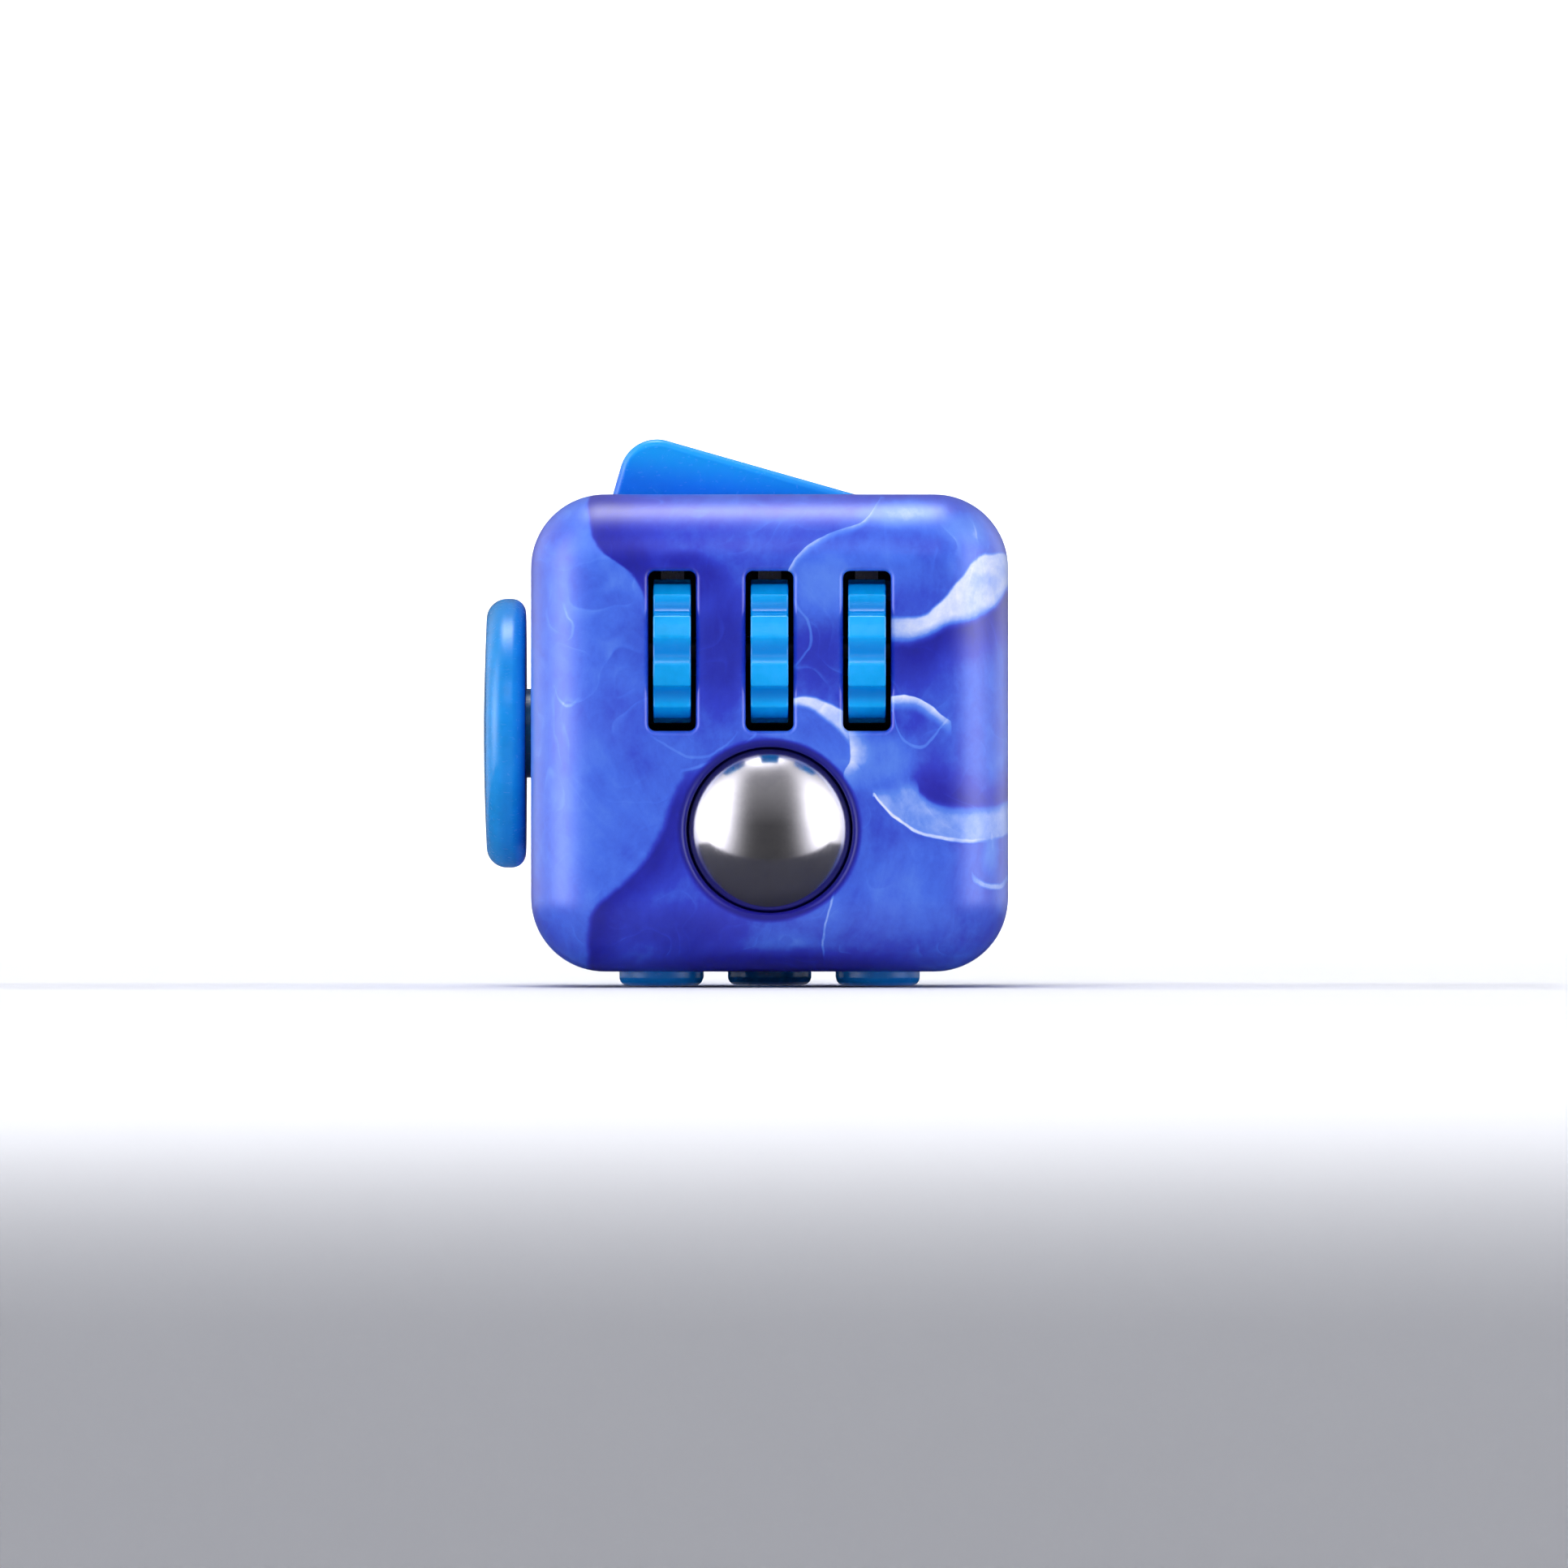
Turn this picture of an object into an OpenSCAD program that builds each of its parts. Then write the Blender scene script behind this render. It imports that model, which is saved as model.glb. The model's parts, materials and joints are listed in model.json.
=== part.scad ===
// Desk fidget cube: a rounded plastic cube with a different control on each face.
// Front: three gears and a steel ball. Top: flip rocker. Left: spinning dial.
// Right: worry-stone dish. Back: thumb joystick. Underneath: five push buttons.
// +X right, +Y back, +Z up. The cube stands on its buttons, so z = 0 is the plane of their tips.

/* [Cube] */
// Side of the cube body
cube_side = 33; // [33:0.1:35]
// Radius along the cube's edges and corners
edge_r = 5.1; // [4.6:0.1:5.6]
// Thickness of the shell
wall = 1.8; // [1.6:0.1:1.9]
// Overlap of the joint between the body and each cover
lap = 0.9; // [0.7:0.05:1]

/* [Gears] */
// Diameter over the teeth
gear_d = 9.94; // [9.4:0.02:10]
// Width of each gear
gear_w = 2.6; // [2:0.1:2.8]
// Number of teeth
gear_teeth = 9; // [7:1:12]
// Distance between neighbouring gears
gear_pitch = 6.72; // [6.6:0.02:6.8]
// Height of the gear axle above the cube's centre
gear_rise = 5.65; // [5.6:0.05:5.8]
// Depth of the gear axle behind the front face
gear_depth = 3.35; // [3.2:0.05:3.5]
// Width of each gear slot
slot_w = 3.3; // [3.1:0.1:3.5]
// Height of each gear slot
slot_h = 11.04; // [10.8:0.02:11.2]

/* [Ball] */
// Diameter of the steel ball
ball_d = 14; // [13.8:0.1:14]
// Depth of the ball's centre behind the front face
ball_depth = 4.6; // [4.5:0.05:4.8]
// Distance of the ball's centre below the cube's centre
ball_drop = 6.7; // [6.6:0.05:6.8]
// Diameter of the throat that holds the ball in
throat_d = 11.4; // [11.3:0.05:11.5]
// Diameter of the bevel around the ball
lip_d = 12.46; // [12.2:0.02:12.8]
// Push travel of the ball
ball_travel = 0.9; // [0.5:0.1:0.9]

/* [Rocker] */
// Half of the rocker's length
rocker_half = 11.08; // [10.8:0.02:11.1]
// Width of the rocker
rocker_w = 10; // [9.4:0.1:10]
// Height of the rocker's flat top above its pivot
rocker_top = 3.81; // [3.7:0.01:3.9]
// Depth of the pivot below the top face
rocker_pivot = 2.2; // [2.1:0.05:2.4]
// Tilt to either side
rocker_tilt = 15.9; // [12:0.1:16]

/* [Dial] */
// Diameter of the spinning dial
dial_d = 18.7; // [16:0.1:20]
// Thickness of the dial
dial_t = 2.75; // [2.5:0.05:3]
// Gap between the dial and the cube
dial_gap = 0.42; // [0.3:0.02:0.6]
// Diameter of the dial's stem
dial_stem_d = 6.2; // [6:0.1:6.2]

/* [Worry stone] */
// Depth of the thumb dish
dish_depth = 2.4; // [1.8:0.1:2.6]
// Length of the oval dish, front to back
dish_w = 20.4; // [18:0.1:20.6]
// Height of the oval dish
dish_h = 16; // [14:0.1:16.4]

/* [Joystick] */
// Diameter of the thumb cap
stick_cap_d = 13.5; // [12:0.1:14]
// Thickness of the thumb cap
stick_cap_t = 2.6; // [2.4:0.1:3]
// Stand-off of the cap from the back face
stick_rise = 2.8; // [2.7:0.1:3.2]
// Radius of the dome under the cap
stick_dome_r = 8.2; // [8.1:0.05:8.2]
// Diameter of the joystick's opening
stick_hole_d = 11.2; // [11:0.1:11.4]

/* [Buttons] */
// Diameter of each button
button_d = 5.8; // [5.4:0.1:5.8]
// Distance of the outer buttons from the centre lines
button_offset = 7.5; // [7.4:0.1:7.6]
// Height that each button stands out of the cube
button_out = 1.0; // [0.8:0.1:1.2]

/* [Hidden] */

h = cube_side / 2;            // half of the cube
zc = button_out + h;          // height of the cube's centre
zt = button_out + cube_side;  // top face
zb = button_out;              // bottom face
seam = h - edge_r;            // the covers begin where the edges start to round
in_h = h - wall;              // half of the inside
half_wall = wall / 2;
gear_y = -h + gear_depth;
gear_z = zc + gear_rise;
ball_r = ball_d / 2;
ball_y = -h + ball_depth;
ball_z = zc - ball_drop;
pivot_z = zt - rocker_pivot;
stick_y = h - 7.8;            // the joystick's pivot
floor_z = zb + wall;          // inner face of the bottom wall
tray_z = floor_z + 1.9;       // underside of the button tray
tray_t = 1.0;
plate_y = gear_y + 5.1;       // front of the gear carrier's plate
back_y = 0.6;                 // rear of the ball's backplate
carrier_screw = [[-11, -3.9 + gear_z], [11, -3.9 + gear_z], [-11, 4.85 + gear_z], [11, 4.85 + gear_z]];
ball_screw_x = 11.4;
flip_screw = [[-4, -7.9], [4, -7.9], [-4, 7.9], [4, 7.9]];
tray_screw = [[-10.9, 0], [10.9, 0], [0, 9.9]];
stick_screw_x = 12;
dish_rz = (pow(dish_h / 2, 2) + pow(dish_depth, 2)) / (2 * dish_depth);  // the dish's curvature up and down
dish_ry = (pow(dish_w / 2, 2) + pow(dish_depth, 2)) / (2 * dish_depth);  // and front to back
azure = [0.02, 0.56, 0.95];
marble = [0.16, 0.22, 0.85];
dark = [0.07, 0.08, 0.12];
steel = [0.80, 0.81, 0.83];

// Points of an arc, from angle a0 to a1
function arc(cx, cy, r, a0, a1, n = 6) =
  [for (i = [0 : n]) let (a = a0 + (a1 - a0) * i / n) [cx + r * cos(a), cy + r * sin(a)]];

// Axis helpers: a body of revolution that stands on +Y, or on -X
module along_y() { rotate([-90, 0, 0]) children(); }
module along_x() { rotate([0, 90, 0]) children(); }

// Rounded cube centred on the body, s across, with edge radius r
module round_cube(s, r) {
  translate([0, 0, zc]) hull() {
    for (x = [-1, 1], y = [-1, 1], z = [-1, 1])
      translate([x, y, z] * (s / 2 - r)) sphere(r, $fn = 32);
    cube([s, s - 2 * r, s - 2 * r], center = true);
    cube([s - 2 * r, s, s - 2 * r], center = true);
    cube([s - 2 * r, s - 2 * r, s], center = true);
  }
}
// Slab between two planes across Y
module slab(y0, y1) { translate([-30, y0, -10]) cube([60, y1 - y0, 60]); }
// The hollow shell between two planes across Y
module shell(y0, y1) {
  intersection() {
    difference() { round_cube(cube_side, edge_r); round_cube(cube_side - 2 * wall, edge_r - wall); }
    slab(y0, y1);
  }
}
// The thin inner lip of a cover, which slides into the main body
module lip(y0, y1) {
  intersection() {
    difference() {
      round_cube(cube_side - 2 * half_wall - 0.06, edge_r - half_wall - 0.03);
      round_cube(cube_side - 2 * wall, edge_r - wall);
    }
    slab(y0, y1);
  }
}
// Rounded square prism along Y, s across, with corner radius r, between y0 and y1
module prism(s, r, y0, y1) {
  c = s / 2 - r;
  q = [for (i = [0 : 9]) let (a = i == 0 ? 0 : i == 9 ? 90 : 11.25 * i - 5.625) [c + r * cos(a), c + r * sin(a)]];
  translate([0, y1, zc]) rotate([90, 0, 0]) linear_extrude(y1 - y0) polygon(concat(q,
    [for (i = [9 : -1 : 0]) [-q[i][0], q[i][1]]], [for (i = [0 : 9]) [-q[i][0], -q[i][1]]], [for (i = [9 : -1 : 0]) [q[i][0], -q[i][1]]]));
}
// Coil of round wire around Z from z0 to z1
module coil(r, wr, z0, z1, turns, sides = 8, per_turn = 18) {
  n = turns * per_turn;
  pts = [for (i = [0 : n], j = [0 : sides - 1])
    let (t = 360 * i / per_turn, a = 360 * j / sides, q = r + wr * cos(a))
      [q * cos(t), q * sin(t), z0 + wr + (z1 - z0 - 2 * wr) * i / n + wr * sin(a)]];
  faces = concat(
    [for (i = [0 : n - 1], j = [0 : sides - 1]) let (k = (j + 1) % sides) [i * sides + j, i * sides + k, (i + 1) * sides + k]],
    [for (i = [0 : n - 1], j = [0 : sides - 1]) let (k = (j + 1) % sides) [i * sides + j, (i + 1) * sides + k, (i + 1) * sides + j]],
    [[for (j = [sides - 1 : -1 : 0]) j]],
    [[for (j = [0 : sides - 1]) n * sides + j]]);
  polyhedron(pts, faces, convexity = 10);
}
// Thin snap dome with its rim on z = 0, rising to z = hgt
module snap_dome(rim, hgt, t) {
  big = (rim * rim + hgt * hgt) / (2 * hgt);
  intersection() {
    translate([0, 0, hgt - big]) difference() { sphere(big, $fn = 64); sphere(big - t, $fn = 64); }
    translate([0, 0, hgt / 2]) cube([2 * rim + 1, 2 * rim + 1, hgt], center = true);
  }
}
// Pan-head screw along -Z with its head's top at z = 0
module screw(head_r, head_h, shank_r, len) {
  difference() {
    union() {
      rotate_extrude($fn = 48) polygon(concat([[0, -head_h], [head_r, -head_h], [head_r, -head_h * 0.45]],
        arc(head_r - head_h * 0.45, -head_h * 0.45, head_h * 0.45, 0, 90, 4), [[0, 0]]));
      translate([0, 0, -len]) cylinder(len - head_h + 0.01, r = shank_r, $fn = 32);
    }
    for (a = [0, 90]) rotate([0, 0, a]) cube([head_r * 1.1, 0.28, head_h * 0.9], center = true);
  }
}

// ---- Housing ----
module front_cover() {
  color(marble) difference() {
    union() {
      shell(-h - 1, -seam);
      lip(-seam - 0.4, -seam + lap - 0.05);
      for (p = carrier_screw) translate([p[0], -in_h - 0.3, p[1]]) along_y() cylinder(plate_y + in_h + 0.3, r = 1.5, $fn = 40);
      for (s = [-1, 1]) translate([s * ball_screw_x, -in_h - 0.3, ball_z]) along_y() cylinder(2.8, r = 1.5, $fn = 40);
    }
    for (i = [-1, 0, 1]) {
      translate([i * gear_pitch, -h, gear_z]) {
        cube([slot_w, 2 * wall + 1, slot_h - 1], center = true);
        cube([slot_w - 1, 2 * wall + 1, slot_h], center = true);
        for (x = [-1, 1], z = [-1, 1]) translate([x * (slot_w / 2 - 0.5), -wall - 0.5, z * (slot_h / 2 - 0.5)])
          along_y() cylinder(2 * wall + 1, r = 0.5, $fn = 24);
      }
    }
    translate([0, -h - 1, ball_z]) along_y() cylinder(wall + 1.2, r = throat_d / 2, $fn = 96);
    translate([0, -h, ball_z]) rotate([-90, 0, 0]) rotate_extrude($fn = 96)
      polygon(concat([[0, -0.5], [lip_d / 2 + 0.3, -0.5], [lip_d / 2, 0]], arc(lip_d / 2, 0.53, 0.53, -90, -180, 5), [[0, 0.53]]));
    translate([0, ball_y, ball_z]) sphere(ball_r + 0.1, $fn = 96);
    for (p = carrier_screw) translate([p[0], plate_y - 4, p[1]]) along_y() cylinder(5, r = 0.6, $fn = 32);
    for (s = [-1, 1]) translate([s * ball_screw_x, -14.2, ball_z]) along_y() cylinder(4, r = 0.6, $fn = 32);
  }
}
module main_body() {
  color(marble) difference() {
    union() {
      difference() {
        prism(cube_side, edge_r, -seam, seam);
        prism(cube_side - 2 * wall, edge_r - wall, -seam - 1, seam + 1);
        for (s = [-1, 1]) prism(cube_side - 2 * half_wall, edge_r - half_wall, s < 0 ? -seam - 1 : seam - lap, s < 0 ? -seam + lap : seam + 1);
      }
      translate([h - 4.1, -6.6, zc - 8.6]) cube([wall + 0.9, 16.15, 17.2]);
      for (p = flip_screw) translate([p[0], p[1], zt - wall - 1]) cylinder(1.3, r = 1.6, $fn = 40);
      for (p = tray_screw) translate([p[0], p[1], floor_z - 0.3]) cylinder(tray_z - floor_z + 0.3, r = 1.5, $fn = 40);
    }
    translate([h - dish_depth + dish_ry, 0, zc]) rotate_extrude($fn = 144) intersection() {
      translate([dish_ry - dish_rz, 0]) circle(dish_rz, $fn = 144);
      translate([0, -30]) square([60, 60]);
    }
    translate([-rocker_half - 0.22, -rocker_w / 2 - 0.2, zt - wall - 1]) cube([2 * rocker_half + 0.44, rocker_w + 0.4, wall + 2]);
    translate([-h - 1, 0, zc]) along_x() cylinder(wall + 1.5, r = 4.02, $fn = 64);
    for (p = [[0, 0], [-1, -1], [1, -1], [-1, 1], [1, 1]])
      translate([p[0] * button_offset, p[1] * button_offset, zb - 1]) cylinder(wall + 1.5, r = button_d / 2 + 0.08, $fn = 64);
    for (p = flip_screw) translate([p[0], p[1], zt - wall - 2]) cylinder(2.6, r = 0.6, $fn = 32);
    for (p = tray_screw) translate([p[0], p[1], floor_z - 0.6]) cylinder(4, r = 0.6, $fn = 32);
  }
}
module back_cover() {
  color(marble) difference() {
    union() {
      shell(seam, h + 1);
      lip(seam - lap + 0.05, seam + 0.4);
      for (s = [-1, 1]) translate([s * stick_screw_x, in_h - 2.2, zc]) along_y() cylinder(2.5, r = 1.5, $fn = 40);
    }
    translate([0, in_h - 1, zc]) along_y() cylinder(wall + 2, r = stick_hole_d / 2, $fn = 96);
    translate([0, stick_y, zc]) sphere(stick_dome_r + 0.15, $fn = 96);
    translate([0, h - 0.35, zc]) along_y() cylinder(0.7, r1 = stick_hole_d / 2, r2 = stick_hole_d / 2 + 0.7, $fn = 96);
    for (s = [-1, 1]) translate([s * stick_screw_x, in_h - 3, zc]) along_y() cylinder(3.4, r = 0.6, $fn = 32);
  }
}

// ---- Roll: gears ----
module gear(i) {
  land = 9.5;               // half of each tooth's top, in degrees
  pitch = 360 / gear_teeth;
  half_gap = pitch / 2 - land * 9 / gear_teeth;
  rs = 1.15;
  ro = gear_d / 2;
  reach = ro * cos(half_gap) + sqrt(rs * rs - pow(ro * sin(half_gap), 2));
  color(azure) translate([i * gear_pitch, gear_y, gear_z]) rotate([0, 90, 0]) difference() {
    cylinder(gear_w, r = ro, center = true, $fn = 96);
    for (k = [0 : gear_teeth - 1]) rotate([0, 0, -90 + k * pitch]) translate([reach, 0, 0]) cylinder(gear_w + 1, r = rs, center = true, $fn = 40);
    cylinder(gear_w + 1, r = 0.85, center = true, $fn = 40);
  }
}
module gear_left() { gear(-1); }
module gear_centre() { gear(0); }
module gear_right() { gear(1); }
module gear_axle() { color(steel) translate([-10.1, gear_y, gear_z]) along_x() cylinder(20.2, r = 0.8, $fn = 40); }
module gear_carrier() {
  color(dark) difference() {
    union() {
      translate([-13.2, plate_y, gear_z - 5.05]) cube([26.4, 1.2, 11.2]);
      for (x = [-9.4, -3.36, 3.36, 9.4]) translate([x - (abs(x) > 5 ? 0.7 : 1), gear_y - 1.45, gear_z - 2.25])
        cube([abs(x) > 5 ? 1.4 : 2, plate_y - gear_y + 1.55, 4.5]);
    }
    for (i = [-1, 0, 1]) translate([i * gear_pitch - 1.7, plate_y - 0.5, gear_z - 3.65]) cube([3.4, 2.2, 8.6]);
    translate([-12, gear_y, gear_z]) along_x() cylinder(24, r = 0.82, $fn = 40);
    for (p = carrier_screw) translate([p[0], plate_y - 1, p[1]]) along_y() cylinder(4, r = 0.7, $fn = 32);
  }
}
module gear_carrier_screws() {
  color(steel) for (p = carrier_screw) translate([p[0], plate_y + 1.9, p[1]]) rotate([-90, 0, 0]) screw(1.3, 0.7, 0.58, 4.6);
}
// Spring leaf whose bent tip drops into the gaps between the teeth
module click_leaf(i) {
  color(steel) translate([i * gear_pitch, 0, 0]) {
    translate([-0.8, plate_y - 0.25, gear_z + 1.7]) cube([1.6, 0.25, 4.4]);
    translate([-0.8, plate_y - 0.36, gear_z + 1.74]) along_x() cylinder(1.6, r = 0.5, $fn = 32);
  }
}
module gear_click_leaf_left() { click_leaf(-1); }
module gear_click_leaf_centre() { click_leaf(0); }
module gear_click_leaf_right() { click_leaf(1); }

// ---- Roll: ball ----
module roll_ball() { color(steel) translate([0, ball_y, ball_z]) sphere(ball_r, $fn = 96); }
module ball_cradle() {
  color(dark) difference() {
    translate([0, 0, ball_z]) rotate([-90, 0, 0]) rotate_extrude($fn = 96)
      polygon([[0, ball_y + 4.2], [6.1, ball_y + 4.2], [6.1, ball_y + 6.2], [4.9, ball_y + 7.7], [1.5, ball_y + 7.7], [1.5, back_y], [0, back_y]]);
    translate([0, ball_y, ball_z]) sphere(ball_r + 0.06, $fn = 96);
  }
}
module ball_return_spring() {
  color(steel) translate([0, 0, ball_z]) rotate([-90, 0, 0]) coil(3.6, 0.22, ball_y + 7.72, back_y - 1.82, 3);
}
module ball_backplate() {
  color(dark) difference() {
    union() {
      translate([-9.3, back_y - 1.8, ball_z - 4.4]) cube([18.6, 1.8, 8.8]);
      for (s = [-1, 1]) {
        translate([s > 0 ? 7.9 : -9.3, -12.2, ball_z - 1.8]) cube([1.4, back_y - 0.1 + 12.2, 3.6]);
        translate([s > 0 ? 8.0 : -12.9, -12.2, ball_z - 1.8]) cube([4.9, 1.2, 3.6]);
      }
    }
    translate([0, back_y - 3, ball_z]) along_y() cylinder(4, r = 1.56, $fn = 40);
    for (s = [-1, 1]) translate([s * ball_screw_x, -13, ball_z]) along_y() cylinder(4, r = 0.7, $fn = 32);
  }
}
module ball_click_dome() {
  color(steel) translate([0, back_y + 0.95, ball_z]) rotate([90, 0, 0]) snap_dome(3.0, 0.9, 0.12);
}
module ball_switch_cup() {
  color(dark) difference() {
    translate([0, back_y, ball_z]) along_y() cylinder(1.8, r = 4.3, $fn = 64);
    translate([0, back_y - 1, ball_z]) along_y() cylinder(1.95, r = 3.3, $fn = 64);
  }
}
module ball_backplate_screws() {
  color(steel) for (s = [-1, 1]) translate([s * ball_screw_x, -10.3, ball_z]) rotate([-90, 0, 0]) screw(1.3, 0.7, 0.58, 3.6);
}

// ---- Flip rocker ----
module rocker_profile() {
  rr = 2.6;
  polygon(concat([[rocker_half, -2.2]], arc(rocker_half - rr, rocker_top - rr, rr, 0, 90, 10),
    arc(-rocker_half + rr, rocker_top - rr, rr, 90, 180, 10), [[-rocker_half, -2.2], [-rocker_half + 0.5, -2.6], [rocker_half - 0.5, -2.6]]));
}
module flip_rocker() {
  color(azure) translate([0, 0, pivot_z]) rotate([0, rocker_tilt, 0]) difference() {
    union() {
      difference() {
        rotate([90, 0, 0]) linear_extrude(rocker_w, center = true) rocker_profile();
        translate([-9.9, -3.8, -4]) cube([19.8, 7.6, 4 + rocker_top - 1.4]);
      }
      rotate([90, 0, 0]) cylinder(3.8, r = 2.2, center = true, $fn = 48);
      translate([-1.6, -1.9, 0]) cube([3.2, 3.8, rocker_top - 1.2]);
      translate([-0.9, -1.4, -3.4]) cube([1.8, 2.8, 2.4]);
      translate([0, 0, -3.4]) rotate([90, 0, 0]) cylinder(2.8, r = 0.9, center = true, $fn = 32);
    }
    rotate([90, 0, 0]) cylinder(6, r = 1.05, center = true, $fn = 40);
  }
}
module flip_pivot_pin() { color(steel) translate([0, 0, pivot_z]) rotate([90, 0, 0]) cylinder(7, r = 1.0, center = true, $fn = 40); }
module flip_bracket() {
  color(dark) difference() {
    union() {
      translate([-6.2, -6.3, pivot_z - 7.5]) cube([12.4, 12.6, 1.2]);
      for (s = [-1, 1]) {
        translate([-6.2, s > 0 ? 5.3 : -6.3, pivot_z - 7.5]) cube([12.4, 1, 6.9]);
        translate([-6.2, s > 0 ? 6.2 : -9.6, pivot_z - 1.6]) cube([12.4, 3.4, 1]);
        translate([-1.9, s > 0 ? 2.2 : -3.5, pivot_z - 6.4]) cube([3.8, 1.3, 6.4]);
        translate([0, s * 2.85, pivot_z]) rotate([90, 0, 0]) cylinder(1.3, r = 1.9, center = true, $fn = 48);
      }
    }
    translate([0, 0, pivot_z]) rotate([90, 0, 0]) cylinder(8, r = 1.01, center = true, $fn = 40);
    for (p = flip_screw) translate([p[0], p[1], pivot_z - 3]) cylinder(4, r = 0.7, $fn = 32);
  }
}
module flip_detent_leaf() {
  b = pivot_z - 6.3;
  color(steel) rotate([90, 0, 0]) linear_extrude(3, center = true)
    polygon([[-5.8, b], [-3.5, b], [-0.75, b + 1.55], [-0.25, b + 1.9], [0.25, b + 1.9], [0.75, b + 1.55], [3.5, b], [5.8, b],
      [5.8, b + 0.25], [3.6, b + 0.25], [0.85, b + 1.82], [0.35, b + 2.15], [-0.35, b + 2.15], [-0.85, b + 1.82], [-3.6, b + 0.25], [-5.8, b + 0.25]]);
}
module flip_bracket_screws() {
  color(steel) for (p = flip_screw) translate([p[0], p[1], pivot_z - 2.3]) mirror([0, 0, 1]) screw(1.3, 0.7, 0.58, 3.0);
}

// ---- Spin dial ----
module spin_dial() {
  rd = dial_d / 2;
  color(azure) difference() {
    translate([-h - dial_gap, 0, zc]) rotate([0, -90, 0]) difference() {
      union() {
        rotate_extrude($fn = 128) polygon(concat([[0, 0], [rd - 1, 0]], arc(rd - 1, 1, 1, -90, 0, 6),
          arc(rd - 1.4, dial_t - 1.4, 1.4, 0, 86, 8), [[rd * 0.55, dial_t + 0.13], [rd * 0.28, dial_t + 0.18], [0, dial_t + 0.2]]));
        translate([0, 0, -4.2]) cylinder(4.3, r = dial_stem_d / 2, $fn = 64);
      }
      translate([0, 0, -5]) cylinder(4, r = 0.8, $fn = 32);
    }
    translate([-h - dial_gap - dial_t - 0.15 - 5, 0, zc + 4.7]) sphere(6, $fn = 72);
  }
}
module dial_bush() {
  color(dark) translate([-h + 0.2, 0, zc]) along_x() difference() {
    union() { cylinder(3.1, r = 4.0, $fn = 64); translate([0, 0, wall - 0.2]) cylinder(0.8, r = 5.0, $fn = 64); }
    translate([0, 0, -1]) cylinder(6, r = dial_stem_d / 2 + 0.05, $fn = 64);
  }
}
module dial_spring_washer() {
  color(steel) translate([-h + 3.32, 0, zc]) along_x() rotate_extrude($fn = 64) polygon([[3.3, 0], [3.36, -0.0], [4.5, 0.56], [4.5, 0.81], [4.44, 0.81], [3.3, 0.25]]);
}
module dial_retaining_washer() {
  color(steel) translate([-h - dial_gap + 4.62, 0, zc]) along_x() difference() { cylinder(0.5, r = 4.6, $fn = 64); translate([0, 0, -1]) cylinder(3, r = 0.85, $fn = 32); }
}
module dial_screw() { color(steel) translate([-h - dial_gap + 5.92, 0, zc]) rotate([0, 90, 0]) screw(1.8, 0.8, 0.78, 4.4); }

// ---- Glide joystick ----
module joystick_cap() {
  rc = stick_cap_d / 2;
  color(azure) translate([0, h + stick_rise, zc]) rotate([-90, 0, 0]) difference() {
    rotate_extrude($fn = 96) polygon(concat([[0, 0], [rc - 1.6, 0]], arc(rc - 1.3, 1.3, 1.3, -80, 0, 6),
      arc(rc - 0.75, stick_cap_t - 0.75, 0.75, 0, 120, 6), [[rc - 2.2, stick_cap_t - 0.75], [rc * 0.45, stick_cap_t - 1.1], [0, stick_cap_t - 1.2]]));
    translate([0, 0, -1]) cylinder(1.9, r = 2.4, $fn = 48);
  }
}
module joystick_stem() {
  color(azure) difference() {
    union() {
      translate([0, stick_y, zc]) intersection() {
        difference() { sphere(stick_dome_r, $fn = 96); sphere(stick_dome_r - 1.1, $fn = 96); }
        translate([-10, stick_dome_r / 2, -10]) cube([20, 10, 20]);
      }
      translate([0, stick_y - 1.7, zc]) along_y() cylinder(stick_dome_r + 1.2, r = 3, $fn = 64);
      translate([0, stick_y + stick_dome_r - 1, zc]) along_y() cylinder(h + stick_rise + 0.9 - stick_y - stick_dome_r + 1, r = 2.4, $fn = 48);
    }
    translate([0, stick_y, zc]) cylinder(20, r = 0.65, center = true, $fn = 32);
  }
}
module gimbal_ring() {
  color(dark) difference() {
    translate([0, stick_y - 1.1, zc]) along_y() cylinder(2.2, r = 5.4, $fn = 64);
    translate([0, stick_y - 2, zc]) along_y() cylinder(4, r = 4.0, $fn = 64);
    translate([0, stick_y, zc]) cylinder(20, r = 0.61, center = true, $fn = 32);
    translate([0, stick_y, zc]) along_x() cylinder(20, r = 0.61, center = true, $fn = 32);
  }
}
module gimbal_pins() {
  color(steel) for (s = [-1, 1]) {
    translate([s * 5.7, stick_y, zc]) along_x() cylinder(3.2, r = 0.6, center = true, $fn = 32);
    translate([0, stick_y, zc + s * 3.7]) cylinder(3.2, r = 0.6, center = true, $fn = 32);
  }
}
module joystick_socket() {
  y0 = stick_y - 5.7;
  color(dark) difference() {
    union() {
      translate([-10.6, y0, zc - 4]) cube([21.2, 1.2, 8]);
      for (s = [-1, 1]) {
        translate([s > 0 ? 9.4 : -10.6, y0, zc - 2.6]) cube([1.2, 9.5, 5.2]);
        translate([s > 0 ? 9.5 : -13.4, y0 + 8.3, zc - 1.8]) cube([3.9, 1.2, 3.6]);
        translate([s > 0 ? 6 : -7.5, y0 + 1, zc - 1.8]) cube([1.5, 6.4, 3.6]);
      }
    }
    translate([0, y0 + 0.5, zc]) along_y() cylinder(2, r = 3.3, $fn = 64);
    translate([0, stick_y, zc]) along_x() cylinder(16, r = 0.65, center = true, $fn = 32);
    for (s = [-1, 1]) translate([s * stick_screw_x, y0 + 7, zc]) along_y() cylinder(4, r = 0.7, $fn = 32);
  }
}
module joystick_spring() { color(steel) translate([0, 0, zc]) rotate([-90, 0, 0]) coil(2.5, 0.2, stick_y - 5.18, stick_y - 3.37, 3); }
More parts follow.
